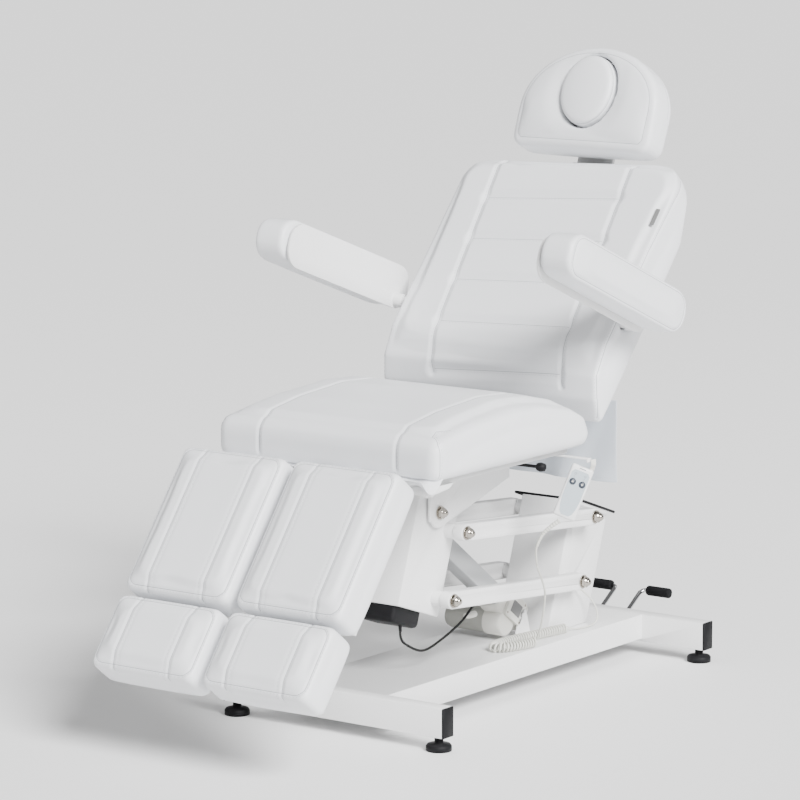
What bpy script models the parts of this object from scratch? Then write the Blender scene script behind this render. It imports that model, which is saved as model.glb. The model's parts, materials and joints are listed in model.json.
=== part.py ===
"""Facial treatment bed: electric lift base, tilting seat, reclining backrest with armrests and a headrest
with a face plug, and two separate leg rests with sliding foot pads.

Metres, +Z up. Sizes are measured from the centre of the base on the floor, and the base is then moved so that
the origin is on the floor at the middle of the overall length. -Y is the foot end, +X the occupant's left.
Every moving body has an empty on its joint's axis, and its pieces are modelled in that empty's frame.
"""
import math

import bmesh
import bpy
from mathutils import Matrix, Vector

# ---------------------------------------------------------------- driving dimensions
ORIGIN_SHIFT = 0.1818            # base centre behind the middle of the overall length, which is the origin
GAP = 0.0003                     # air between two solids that rest on each other
RUNNING = 0.0003                 # radial air between a shaft and its bore

FOOT_HEIGHT = 0.0315             # floor to the underside of the beams
BEAM_LENGTH = 0.610
BEAM_DEPTH = 0.040
BEAM_TALL = 0.068
BEAM_Y = 0.542
CAP_THICK = 0.005
SPINE_WIDTH = 0.263
SPINE_TALL = 0.060
BASE_TOP = FOOT_HEIGHT + BEAM_TALL
BASE_WALL = 0.003
FOOT_X = 0.284

LEAN = 19.0                      # backward lean of column and carriage, degrees from vertical
SHEET = 0.004
COLUMN_FRONT_Y = 0.195
COLUMN_HALF_WIDTH = 0.074
COLUMN_DEPTH = 0.160
COLUMN_LENGTH = 0.329
PIVOT_INSET = 0.031              # pivots behind the column's front edge
LOWER_PIVOT_UP = 0.141           # along the column, above its foot
PIVOT_SPACING = 0.158

ARM_LENGTH = 0.535
ARM_RISE = 4.8                   # the arms climb towards the front, degrees
ARM_TALL = 0.040
ARM_INNER_X = 0.0967
ARM_OUTER_X = 0.1247
BOSS_RADIUS = 0.018
SHAFT_RADIUS = 0.008

CARRIAGE_HALF_WIDTH = 0.072
CARRIAGE_DEPTH = 0.163
CARRIAGE_TALL = 0.262
CARRIAGE_REAR_TALL = 0.243
CARRIAGE_PIVOT_DEPTH = 0.134
CARRIAGE_PIVOT_UP = 0.041

SEAT_PIVOT = (-0.263, 0.468)     # (y, z) of the seat's tilt shaft
SEAT_BOARD_LOW = 0.590
SEAT_BOARD_TOP = 0.605
SEAT_HALF_WIDTH = 0.313
GUSSET_INNER_X = 0.080
GUSSET_OUTER_X = 0.086

ACTUATOR_FOOT = (0.150, 0.150)   # (y, z) of the lift actuator's lower pin
ACTUATOR_PLAY = 0.0065           # the open pivot at the rod's eye
MOTOR_CENTRE = (-0.0435, -0.042) # motor axis seen from the lower pin, actuator level

BACK_PIVOT = (0.066, 0.660)
BACK_PITCH = 48.7                # backrest above horizontal, degrees
BACK_HALF_WIDTH = 0.315
BACK_FACE = 0.110                # face above the pivot when flat
BACK_REAR = -0.012               # underside of the cushion when flat
BACK_END = 0.648
HINGE_NOTCH = (0.125, 0.030)     # half width and reach of the cushion's recess round the hinge

GAS_ANCHOR = (-0.200, 0.515)
FORK_LENGTH = 0.036
GAS_LEVER = (0.012, -0.059)       # lever eye seen from the pivot when the backrest is flat

HEAD_PITCH = 66.8
HEAD_PIVOT = (0.482, 1.183)
HEAD_LOW = 0.004                 # underside of the cushion above its tilt pivot
HEAD_FACE = 0.092
HEAD_HALF_WIDTH = 0.195
HEAD_SHOULDER = 0.1316           # where the straight sides turn into the arch
HEAD_ARCH = 0.153
HEAD_BOTTOM = 0.032
HEAD_CORNER = 0.030
POST_X = 0.070
POST_RADIUS = 0.0075
POST_DEPTH = 0.190               # how far the posts reach down from the tilt pivot
PLUG_CENTRE = 0.1716
PLUG_HALF_WIDTH = 0.074
PLUG_HALF_LENGTH = 0.089
PLUG_CLEARANCE = 0.004

ARMREST_PIVOT = (0.155, 0.875)
ARMREST_RISE = {1: 22.5, -1: 19.5}   # left and right armrest, front end above level, degrees
ARMREST_FRONT = -0.466
ARMREST_REAR = 0.052
ARMREST_LOW = -0.016
ARMREST_TOP = 0.097
ARMREST_INNER_X = 0.349
ARMREST_OUTER_X = 0.445

LEG_PIVOT = (-0.575, 0.585)
LEG_DROP = 52.2                  # leg rests below horizontal, degrees
LEG_INNER_X = 0.009
LEG_OUTER_X = 0.300
LEG_FACE = 0.152                 # pad face above the pivot when level
LEG_CUSHION = 0.098
CALF_START = 0.027
CALF_LENGTH = 0.368
PAD_GAP = 0.008
FOOT_PAD_LENGTH = 0.185
RAIL_BORE = 0.020

HANDSET_TOP = (0.333, -0.045, 0.568)
HANDSET_UP = (0.216, 0.340, 0.915)
HANDSET_FACING = (0.583, -0.797, 0.158)
HANDSET_SIZE = (0.052, 0.125, 0.022)

KNOB_PLACE = (0.262, -0.133, 0.574)

ROUND = 24                       # sides of a round piece

WORLD = {}                       # world matrix of every empty


# ---------------------------------------------------------------- scene, materials and frames
def clear_scene():
    for obj in list(bpy.data.objects):
        bpy.data.objects.remove(obj, do_unlink=True)


def make_material(name, colour, roughness, metallic=0.0):
    material = bpy.data.materials.new(name)
    material.use_nodes = True
    shader = material.node_tree.nodes["Principled BSDF"]
    shader.inputs["Base Color"].default_value = (*colour, 1.0)
    shader.inputs["Roughness"].default_value = roughness
    shader.inputs["Metallic"].default_value = metallic
    material.diffuse_color = (*colour, 1.0)
    return material


def place_empty(name, parent, matrix):
    """An empty with this world matrix, under its parent body's empty."""
    empty = bpy.data.objects.new(name, None)
    bpy.context.scene.collection.objects.link(empty)
    WORLD[name] = matrix
    if parent is None:
        empty.matrix_basis = matrix
    else:
        empty.parent = parent
        empty.matrix_basis = WORLD[parent.name].inverted() @ matrix
    return empty


def pitch_frame(name, parent, pivot, degrees, x=0.0):
    """A frame at pivot = (y, z), turned about X: positive degrees lift +Y."""
    matrix = Matrix.Translation((x, *pivot)) @ Matrix.Rotation(math.radians(degrees), 4, "X")
    return place_empty(name, parent, matrix)


def turned(y, z, degrees):
    """(y, z) turned about X."""
    angle = math.radians(degrees)
    return (y * math.cos(angle) - z * math.sin(angle), y * math.sin(angle) + z * math.cos(angle))


def offset(origin, y, z, degrees):
    """World (y, z) of a point given in a pitched frame."""
    dy, dz = turned(y, z, degrees)
    return (origin[0] + dy, origin[1] + dz)


# ---------------------------------------------------------------- shapes
def link_mesh(name, bm, frame, material, smooth=False):
    bmesh.ops.recalc_face_normals(bm, faces=bm.faces)
    mesh = bpy.data.meshes.new(name)
    bm.to_mesh(mesh)
    bm.free()
    mesh.materials.append(material)
    if smooth:
        mesh.shade_smooth()
        mesh.set_sharp_from_angle(angle=math.radians(35))
    obj = bpy.data.objects.new(name, mesh)
    bpy.context.scene.collection.objects.link(obj)
    obj.parent = frame
    return obj


def slab(outline_low, outline_high, low, high, axis="X"):
    """A solid between two outlines of equal length, at low and high along axis."""
    bm = bmesh.new()

    def point(pair, along):
        if axis == "X":
            return (along, pair[0], pair[1])
        if axis == "Y":
            return (pair[0], along, pair[1])
        return (pair[0], pair[1], along)

    lower = [bm.verts.new(point(pair, low)) for pair in outline_low]
    upper = [bm.verts.new(point(pair, high)) for pair in outline_high]
    bm.faces.new(lower)
    bm.faces.new(upper)
    count = len(lower)
    for index in range(count):
        after = (index + 1) % count
        bm.faces.new((lower[index], lower[after], upper[after], upper[index]))
    return bm


def prism(name, outline, low, high, frame, material, axis="X", smooth=False):
    return link_mesh(name, slab(outline, outline, low, high, axis), frame, material, smooth)


def box(name, low, high, frame, material):
    outline = [(low[1], low[2]), (high[1], low[2]), (high[1], high[2]), (low[1], high[2])]
    return prism(name, outline, low[0], high[0], frame, material)


def arc(centre, radius, start, end, steps):
    """Points on a circle from start to end degrees."""
    points = []
    for step in range(steps + 1):
        angle = math.radians(start + (end - start) * step / steps)
        points.append((centre[0] + radius * math.cos(angle), centre[1] + radius * math.sin(angle)))
    return points


def rounded_outline(low, high, radius, steps=5):
    """A rectangle with round corners."""
    points = []
    corners = (
        ((high[0] - radius, low[1] + radius), -90),
        ((high[0] - radius, high[1] - radius), 0),
        ((low[0] + radius, high[1] - radius), 90),
        ((low[0] + radius, low[1] + radius), 180),
    )
    for centre, start in corners:
        points += arc(centre, radius, start, start + 90, steps)
    return points


def rod(name, start, end, radius, frame, material, sides=ROUND):
    """A round bar between two points."""
    start = Vector(start)
    span = Vector(end) - start
    turn = Vector((0, 0, 1)).rotation_difference(span).to_matrix().to_4x4()
    bm = bmesh.new()
    bmesh.ops.create_cone(bm, cap_ends=True, segments=sides, radius1=radius, radius2=radius,
                          depth=span.length, matrix=Matrix.Translation(start + span / 2) @ turn)
    return link_mesh(name, bm, frame, material, smooth=True)


def turned_piece(name, profile, frame, material, axis="Z", centre=(0, 0, 0), sides=ROUND):
    """A solid of revolution; the profile is (radius, height) from bottom to top, closed on the axis."""
    bm = bmesh.new()
    rings = []
    for radius, height in profile:
        if radius == 0:
            rings.append([bm.verts.new((0, 0, height))])
            continue
        ring = []
        for side in range(sides):
            angle = 2 * math.pi * side / sides
            ring.append(bm.verts.new((radius * math.cos(angle), radius * math.sin(angle), height)))
        rings.append(ring)
    for lower, upper in zip(rings, rings[1:]):
        for side in range(sides):
            after = (side + 1) % sides
            if len(lower) == 1:
                bm.faces.new((lower[0], upper[after], upper[side]))
            elif len(upper) == 1:
                bm.faces.new((lower[side], lower[after], upper[0]))
            else:
                bm.faces.new((lower[side], lower[after], upper[after], upper[side]))
    turn = Matrix.Identity(4)
    if axis == "X":
        turn = Matrix.Rotation(math.radians(90), 4, "Y")
    bmesh.ops.transform(bm, matrix=Matrix.Translation(centre) @ turn, verts=bm.verts)
    return link_mesh(name, bm, frame, material, smooth=True)


def swept_rod(name, points, radius, frame, material, sides=12):
    """A round bar through points, mitred at its bends and closed at both ends."""
    path = [Vector(point) for point in points]
    bm = bmesh.new()
    rings = []
    for index, point in enumerate(path):
        before = path[max(index - 1, 0)]
        after = path[min(index + 1, len(path) - 1)]
        along = (after - before).normalized()
        across = along.cross(Vector((0, 0, 1))).normalized()
        upward = across.cross(along)
        ring = []
        for side in range(sides):
            angle = 2 * math.pi * side / sides
            spoke = across * math.cos(angle) + upward * math.sin(angle)
            ring.append(bm.verts.new(point + spoke * radius))
        rings.append(ring)
    for lower, upper in zip(rings, rings[1:]):
        for side in range(sides):
            after_side = (side + 1) % sides
            bm.faces.new((lower[side], lower[after_side], upper[after_side], upper[side]))
    bm.faces.new(rings[0])
    bm.faces.new(rings[-1])
    return link_mesh(name, bm, frame, material, smooth=True)


def combine(obj, other, operation):
    other.hide_render = True
    other.display_type = "WIRE"
    modifier = obj.modifiers.new(other.name, "BOOLEAN")
    modifier.operation = operation
    modifier.solver = "EXACT"
    modifier.object = other


def cut(obj, *cutters):
    for cutter in cutters:
        combine(obj, cutter, "DIFFERENCE")


def join(obj, *others):
    for other in others:
        combine(obj, other, "UNION")


def bevel(obj, width, segments=2, angle=40):
    modifier = obj.modifiers.new("soft_edges", "BEVEL")
    modifier.width = width
    modifier.segments = segments
    modifier.limit_method = "ANGLE"
    modifier.angle_limit = math.radians(angle)


# ---------------------------------------------------------------- base
def build_base(frame, paint, plastic):
    half = BEAM_LENGTH / 2
    spine_low = BASE_TOP - SPINE_TALL
    base = box("base_frame", (-half, -BEAM_Y - BEAM_DEPTH / 2, FOOT_HEIGHT),
               (half, -BEAM_Y + BEAM_DEPTH / 2, BASE_TOP), frame, paint)
    bevel(base, 0.002)
    rear = box("base_rear_beam_solid", (-half, BEAM_Y - BEAM_DEPTH / 2, FOOT_HEIGHT),
               (half, BEAM_Y + BEAM_DEPTH / 2, BASE_TOP), frame, paint)
    bevel(rear, 0.002)
    reach = BEAM_Y - BEAM_DEPTH / 2 + 0.004
    spine = box("base_spine_solid", (-SPINE_WIDTH / 2, -reach, spine_low),
                (SPINE_WIDTH / 2, reach, BASE_TOP - 0.0002), frame, paint)
    join(base, rear, spine)
    inner = SPINE_WIDTH / 2 - BASE_WALL
    end = BEAM_Y - BEAM_DEPTH / 2 + 0.0007
    hollow = box("base_spine_hollow", (-inner, -end, spine_low - 0.01),
                 (inner, end, BASE_TOP - BASE_WALL), frame, paint)
    cut(base, hollow)
    for sign in (-1, 1):
        middle = sign * BEAM_Y
        tube = BEAM_DEPTH / 2 - BASE_WALL
        name = "base_beam_hollow_front" if sign < 0 else "base_beam_hollow_rear"
        cut(base, box(name, (-half - 0.01, middle - tube, FOOT_HEIGHT + BASE_WALL),
                      (half + 0.01, middle + tube, BASE_TOP - BASE_WALL), frame, paint))
        for side in (-1, 1):
            cut(base, rod(f"foot_hole_{sign}_{side}", (side * FOOT_X, middle, FOOT_HEIGHT - 0.01),
                          (side * FOOT_X, middle, FOOT_HEIGHT + 0.01), 0.0056, frame, paint, 16))
    add_actuator_lugs(base, frame, paint)
    add_pedal_lugs(base, frame, paint)
    for sign, end_name in ((-1, "front"), (1, "rear")):
        for side, side_name in ((-1, "right"), (1, "left")):
            build_end_cap(f"end_cap_{end_name}_{side_name}", side, sign * BEAM_Y, frame, plastic)
    return base


def add_actuator_lugs(base, frame, paint):
    y, z = ACTUATOR_FOOT
    for side in (-1, 1):
        outline = [(y - 0.030, BASE_TOP - 0.001), (y + 0.030, BASE_TOP - 0.001)]
        outline += arc((y, z), 0.015, 0, 180, 8)
        low, high = sorted((side * 0.030, side * 0.036))
        join(base, prism(f"actuator_lug_{side}", outline, low, high, frame, paint))
    join(base, rod("actuator_pin", (-0.0365, y, z), (0.0365, y, z), 0.006, frame, paint, 16))


def add_pedal_lugs(base, frame, paint):
    back = BEAM_Y + BEAM_DEPTH / 2
    for side in (-1, 1):
        low, high = sorted((side * 0.0460, side * 0.0510))
        outline = [(back - 0.001, 0.062)] + arc((PEDAL_PIVOT[0], PEDAL_PIVOT[1]), 0.011, -90, 90, 8)
        outline += [(back - 0.001, 0.092)]
        lug = prism(f"pedal_lug_{side}", outline, low, high, frame, paint)
        join(base, lug)
    cut(base, rod("pedal_bore", (-0.06, *PEDAL_PIVOT), (0.06, *PEDAL_PIVOT), 0.0064, frame, paint, 16))


def build_end_cap(name, side, y, frame, plastic):
    """Black insert plug: an outer plate and a block that sits inside the tube."""
    half = BEAM_LENGTH / 2
    outer = sorted((side * (half + GAP), side * (half + CAP_THICK)))
    plate = box(name, (outer[0], y - BEAM_DEPTH / 2, FOOT_HEIGHT),
                (outer[1], y + BEAM_DEPTH / 2, BASE_TOP), frame, plastic)
    bevel(plate, 0.0015, 1)
    tube = BEAM_DEPTH / 2 - BASE_WALL - 0.0005
    inner = sorted((side * (half - 0.008), side * (half + CAP_THICK / 2)))
    block = box(name + "_insert", (inner[0], y - tube, FOOT_HEIGHT + BASE_WALL + 0.0005),
                (inner[1], y + tube, BASE_TOP - BASE_WALL - 0.0005), frame, plastic)
    join(plate, block)


def build_feet(root, plastic):
    profile = [(0, 0), (0.029, 0), (0.029, 0.011), (0.026, 0.015), (0.010, 0.017), (0.010, 0.0307),
               (0.0052, 0.0307), (0.0052, 0.050), (0, 0.050)]
    for sign, end_name in ((-1, "front"), (1, "rear")):
        for side, side_name in ((-1, "right"), (1, "left")):
            place = Matrix.Translation((side * FOOT_X, sign * BEAM_Y, 0))
            frame = place_empty(f"foot_axis_{end_name}_{side_name}", root, place)
            turned_piece(f"levelling_foot_{end_name}_{side_name}", profile, frame, plastic, sides=20)


# ---------------------------------------------------------------- column, arms and carriage
def column_point(depth, up):
    """World (y, z) of a point on the leaning column."""
    return offset((COLUMN_FRONT_Y, BASE_TOP + GAP), depth, up, -LEAN)


LOWER_REAR = column_point(PIVOT_INSET, LOWER_PIVOT_UP)
UPPER_REAR = column_point(PIVOT_INSET, LOWER_PIVOT_UP + PIVOT_SPACING)
ARM_REACH = (-ARM_LENGTH * math.cos(math.radians(ARM_RISE)), ARM_LENGTH * math.sin(math.radians(ARM_RISE)))
LOWER_FRONT = (LOWER_REAR[0] + ARM_REACH[0], LOWER_REAR[1] + ARM_REACH[1])
UPPER_FRONT = (UPPER_REAR[0] + ARM_REACH[0], UPPER_REAR[1] + ARM_REACH[1])
PEDAL_PIVOT = (0.578, 0.077)


def bore(name, centre, frame, material, half_length=0.2, radius=SHAFT_RADIUS + RUNNING):
    return rod(name, (-half_length, *centre), (half_length, *centre), radius, frame, material, ROUND)


def build_column(frame, paint):
    """A folded sheet: one front wall and two side walls, open at the back and at the top."""
    foot_front = (COLUMN_FRONT_Y, BASE_TOP + GAP)
    top_front = column_point(0, COLUMN_LENGTH)
    top_rear = column_point(COLUMN_DEPTH, COLUMN_LENGTH)
    drop = (top_rear[1] - foot_front[1]) * math.tan(math.radians(LEAN))
    foot_rear = (top_rear[0] - drop, foot_front[1])
    outline = [foot_front, foot_rear, top_rear, top_front]
    column = prism("column", outline, -COLUMN_HALF_WIDTH, COLUMN_HALF_WIDTH, frame, paint)
    bevel(column, 0.004)
    for side in (-1, 1):
        for label, pivot in (("lower", LOWER_REAR), ("upper", UPPER_REAR)):
            start = (side * (COLUMN_HALF_WIDTH - 0.001), *pivot)
            end = (side * (ARM_INNER_X - GAP), *pivot)
            join(column, rod(f"column_boss_{label}_{side}", start, end, BOSS_RADIUS, frame, paint))
    front_cut = SHEET / math.cos(math.radians(LEAN))
    stretch = 0.05
    slope = math.tan(math.radians(LEAN))
    low_z = foot_front[1] - stretch
    high_z = top_front[1] + stretch
    low_y = foot_front[0] + front_cut - stretch * slope
    high_y = top_front[0] + front_cut + stretch * slope
    hollow_outline = [(low_y, low_z), (low_y + 0.4, low_z), (high_y + 0.4, high_z), (high_y, high_z)]
    inner = COLUMN_HALF_WIDTH - SHEET
    cut(column, prism("column_hollow", hollow_outline, -inner, inner, frame, paint))
    cut(column, bore("column_bore_lower", LOWER_REAR, frame, paint))
    cut(column, bore("column_bore_upper", UPPER_REAR, frame, paint))


def build_arm(name, rear, front, side, frame, paint):
    """A bar with round ends and a bore at each end, in world axes about its rear pivot."""
    slope = ARM_RISE
    radius = ARM_TALL / 2
    span = (front[0] - rear[0], front[1] - rear[1])
    outline = arc((0, 0), radius, -90 - slope, 90 - slope, 8)
    outline += arc(span, radius, 90 - slope, 270 - slope, 8)
    low, high = sorted((side * ARM_INNER_X, side * ARM_OUTER_X))
    arm = prism(name, outline, low, high, frame, paint, smooth=True)
    bevel(arm, 0.002, 1, 60)
    cut(arm, bore(name + "_bore_rear", (0, 0), frame, paint))
    cut(arm, bore(name + "_bore_front", span, frame, paint))


def build_shaft(name, pivot, outer_x, frame, steel):
    """A through shaft with a washer, a nut and a dome at each end."""
    end = outer_x + GAP
    half = [(SHAFT_RADIUS, end), (0.0135, end), (0.0135, end + 0.0025), (0.0115, end + 0.0028),
            (0.0115, end + 0.0115), (0.0095, end + 0.0120), (0.0085, end + 0.0170), (0.0050, end + 0.0205)]
    profile = [(0, -half[-1][1] - 0.0010)]
    profile += [(radius, -along) for radius, along in reversed(half)]
    profile += half
    profile += [(0, half[-1][1] + 0.0010)]
    turned_piece(name, profile, frame, steel, axis="X", centre=(0, *pivot), sides=18)


def build_carriage(frame, paint):
    """A folded channel that carries the seat; in the frame that leans with it, at its lower front corner."""
    outline = [(0, 0), (CARRIAGE_DEPTH, 0), (CARRIAGE_DEPTH, CARRIAGE_REAR_TALL),
               (CARRIAGE_DEPTH - 0.050, CARRIAGE_TALL), (0, CARRIAGE_TALL)]
    carriage = prism("carriage", outline, -CARRIAGE_HALF_WIDTH, CARRIAGE_HALF_WIDTH, frame, paint)
    bevel(carriage, 0.004)
    lower = (CARRIAGE_PIVOT_DEPTH, CARRIAGE_PIVOT_UP)
    upper = (CARRIAGE_PIVOT_DEPTH, CARRIAGE_PIVOT_UP + PIVOT_SPACING)
    tilt = carriage_local(SEAT_PIVOT)
    for side in (-1, 1):
        for label, pivot, reach in (("lower", lower, ARM_INNER_X), ("upper", upper, ARM_INNER_X),
                                    ("tilt", tilt, GUSSET_INNER_X)):
            start = (side * (CARRIAGE_HALF_WIDTH - 0.001), *pivot)
            end = (side * (reach - GAP), *pivot)
            join(carriage, rod(f"carriage_boss_{label}_{side}", start, end, BOSS_RADIUS, frame, paint))
    inner = CARRIAGE_HALF_WIDTH - SHEET
    cut(carriage, box("carriage_hollow", (-inner, SHEET, -0.05), (inner, 0.4, 0.4), frame, paint))
    for label, pivot in (("lower", lower), ("upper", upper), ("tilt", tilt)):
        cut(carriage, bore(f"carriage_bore_{label}", pivot, frame, paint))


def carriage_local(point):
    """A world (y, z) in the carriage's leaning frame."""
    corner = CARRIAGE_CORNER
    return turned(point[0] - corner[0], point[1] - corner[1], LEAN)


CARRIAGE_CORNER = offset(LOWER_FRONT, -CARRIAGE_PIVOT_DEPTH, -CARRIAGE_PIVOT_UP, -LEAN)


# ---------------------------------------------------------------- lift actuator
ACTUATOR_SPAN = math.dist(ACTUATOR_FOOT, UPPER_FRONT)
ACTUATOR_RISE = math.degrees(math.atan2(UPPER_FRONT[1] - ACTUATOR_FOOT[1], ACTUATOR_FOOT[0] - UPPER_FRONT[0]))


def build_actuator(frame, rod_frame, steel, cream, grey):
    """In frames turned so that -Y points from the lower pin to the eye."""
    housing = box("actuator_motor", (-0.0275, -0.100, -0.034), (0.0275, 0.026, 0.034), frame, cream)
    bevel(housing, 0.009)
    barrel_profile = [(0, -0.140), (0.018, -0.139), (0.027, -0.133), (0.030, -0.122), (0.030, -0.022),
                      (0.033, -0.021), (0.033, 0.022), (0.030, 0.0275), (0, 0.0275)]
    barrel = turned_piece("motor_barrel", barrel_profile, frame, cream, axis="X", centre=(0, *MOTOR_CENTRE), sides=28)
    join(housing, barrel)
    cut(housing, bore("motor_pin_bore", (0, 0), frame, cream, radius=0.0066))
    tube = box("actuator_tube", (-0.0225, -0.350, -0.0225), (0.0225, -0.1003, 0.0225), frame, grey)
    bevel(tube, 0.003)
    cut(tube, rod("actuator_tube_bore", (0, -0.36, 0), (0, -0.15, 0), 0.0098, frame, grey))
    eye_radius = SHAFT_RADIUS + ACTUATOR_PLAY
    bar = rod("actuator_rod", (0, -ACTUATOR_SPAN + eye_radius + 0.004, 0), (0, -0.225, 0), 0.0094, rod_frame, steel)
    eye = rod("actuator_eye", (-0.010, -ACTUATOR_SPAN, 0), (0.010, -ACTUATOR_SPAN, 0), 0.0235, rod_frame, steel)
    join(bar, eye)
    cut(bar, rod("actuator_eye_bore", (-0.05, -ACTUATOR_SPAN, 0), (0.05, -ACTUATOR_SPAN, 0), eye_radius,
                 rod_frame, steel))


# ---------------------------------------------------------------- pedals
def build_pedal(name, side, root, chrome, plastic):
    frame = pitch_frame(name + "_axis", root, PEDAL_PIVOT, 0)
    x = side * 0.038
    elbow = (x, 0.080, 0.042)
    path = [(x, 0.0, 0.0), (x, 0.022, 0.004), elbow, (x + side * 0.004, 0.090, 0.046),
            (x + side * 0.012, 0.094, 0.047), (x + side * 0.060, 0.094, 0.047)]
    bar = swept_rod(name + "_lever", path, 0.0055, frame, chrome)
    join(bar, rod(name + "_stub", (side * 0.030, 0, 0), (side * 0.0525, 0, 0), 0.006, frame, chrome, 16))
    start = x + side * 0.014
    grip = rod(name + "_grip", (start, 0.094, 0.047), (start + side * 0.066, 0.094, 0.047), 0.0125, frame, plastic, 20)
    bevel(grip, 0.004, 2)
    cut(grip, rod(name + "_grip_bore", (start - side * 0.01, 0.094, 0.047), (x + side * 0.0605, 0.094, 0.047),
                  0.0062, frame, plastic, 16))


# ---------------------------------------------------------------- seat
def build_seat(frame, wood, leather, paint):
    """In world axes about the tilt shaft."""
    oy, oz = SEAT_PIVOT
    box("seat_board", (-0.270, -0.550 - oy, SEAT_BOARD_LOW - oz), (0.270, -0.020 - oy, SEAT_BOARD_TOP - oz), frame, wood)
    profile = [(-0.580, 0.6053), (0.006, 0.6053), (0.017, 0.640), (-0.004, 0.684), (-0.050, 0.710),
               (-0.163, 0.738), (-0.269, 0.745), (-0.430, 0.732), (-0.560, 0.709), (-0.582, 0.690)]
    outline = [(y - oy, z - oz) for y, z in profile]
    cushion = prism("seat_cushion", outline, -SEAT_HALF_WIDTH, SEAT_HALF_WIDTH, frame, leather)
    bevel(cushion, 0.022, 2, 50)
    build_seat_bracket(frame, paint)


def build_seat_bracket(frame, paint):
    """Two gusset plates joined by a cross plate at their front edge."""
    top = SEAT_BOARD_LOW - GAP - SEAT_PIVOT[1]
    front = -0.300 - SEAT_PIVOT[0]
    outline = [(front, top), (front, -0.018)] + arc((0, 0), 0.036, 205, 285, 6)
    outline += [(0.280, 0.041), (0.280, top)]
    bracket = prism("seat_bracket", outline, -GUSSET_OUTER_X, GUSSET_OUTER_X, frame, paint)
    bevel(bracket, 0.0015, 1)
    inner = GUSSET_INNER_X
    cut(bracket, box("bracket_hollow", (-inner, front + SHEET, -0.1), (inner, 0.4, 0.4), frame, paint))
    cut(bracket, box("bracket_window", (-inner, front - 0.1, -0.1), (inner, front + 0.01, top - 0.045), frame, paint))
    notch_y = -SEAT_PIVOT[0]
    cut(bracket, box("bracket_notch", (-0.1, notch_y - 0.1005, top - 0.0060), (0.1, notch_y - 0.0295, top + 0.01),
                     frame, paint))
    cut(bracket, bore("bracket_bore", (0, 0), frame, paint))


def build_leg_pivot(frame, paint):
    """Cross shaft under the seat's front edge, on three lugs."""
    oy, oz = SEAT_PIVOT
    y, z = LEG_PIVOT[0] - oy, LEG_PIVOT[1] - oz
    shaft = rod("leg_pivot_bracket", (-0.288, y, z), (0.288, y, z), 0.0125, frame, paint)
    top = SEAT_BOARD_LOW - GAP - oz
    outline = arc((y, z), 0.016, 120, 300, 8) + [(y + 0.080, z - 0.006), (y + 0.095, top), (y + 0.020, top)]
    for label, x in (("right", -0.274), ("middle", 0.0), ("left", 0.274)):
        join(shaft, prism(f"leg_lug_{label}", outline, x - 0.004, x + 0.004, frame, paint))


def build_back_pivot(frame, paint):
    """Steel strip under the board with the backrest's lugs and shaft, and the gas spring's anchor."""
    oy, oz = SEAT_PIVOT
    top = SEAT_BOARD_LOW - GAP - oz
    low = top - 0.005
    strip = box("back_pivot_bracket", (-0.026, -0.290 - oy, low), (0.026, -0.060 - oy, top), frame, paint)
    cross = box("back_pivot_cross", (-0.106, -0.100 - oy, low - 0.0003), (0.106, -0.030 - oy, top - 0.0003), frame, paint)
    join(strip, cross)
    py, pz = BACK_PIVOT[0] - oy, BACK_PIVOT[1] - oz
    outline = [(-0.098 - oy, top - 0.001), (-0.098 - oy, 0.568 - oz), (0.046 - oy, 0.568 - oz)]
    outline += arc((py, pz), 0.020, -30, 160, 8)
    outline += [(0.032 - oy, 0.618 - oz), (0.014 - oy, top - 0.001)]
    for side in (-1, 1):
        inner, outer = sorted((side * 0.098, side * 0.1055))
        join(strip, prism(f"back_lug_{side}", outline, inner, outer, frame, paint))
    join(strip, rod("back_shaft", (-0.112, py, pz), (0.112, py, pz), 0.0120, frame, paint))
    ay, az = GAS_ANCHOR[0] - oy, GAS_ANCHOR[1] - oz
    ear = [(ay - 0.030, low + 0.001)] + arc((ay, az), 0.012, 180, 360, 8) + [(ay + 0.030, low + 0.001)]
    for side in (-1, 1):
        inner, outer = sorted((side * 0.015, side * 0.020))
        join(strip, prism(f"gas_ear_{side}", ear, inner, outer, frame, paint))
    join(strip, rod("gas_pin", (-0.0205, ay, az), (0.0205, ay, az), 0.004, frame, paint, 16))


def build_seat_fittings(frame, fabric, white):
    """Hanging apron behind the seat, and the hook that the handset hangs from."""
    oy, oz = SEAT_PIVOT
    box("rear_apron", (-0.300, 0.1385 - oy, 0.500 - oz), (0.300, 0.1415 - oy, 0.612 - oz), frame, fabric)
    y, z = HANDSET_TOP[1] - oy, SEAT_BOARD_LOW - GAP - oz
    outline = [(0.240, z), (0.240, z - 0.0035), (0.3445, z - 0.0035), (0.3445, z - 0.0095), (0.3480, z - 0.0095), (0.3480, z)]
    prism("handset_hook", outline, y - 0.008, y + 0.008, frame, white, axis="Y")


def build_release_knob(frame, plastic):
    """Push rod with an oval knob, in world axes at its own middle line."""
    profile = [(0, -0.080), (0.004, -0.080), (0.004, 0.0), (0.009, 0.004), (0.011, 0.012), (0.009, 0.022), (0, 0.026)]
    turned_piece("release_knob", profile, frame, plastic, axis="X", sides=16)


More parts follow.
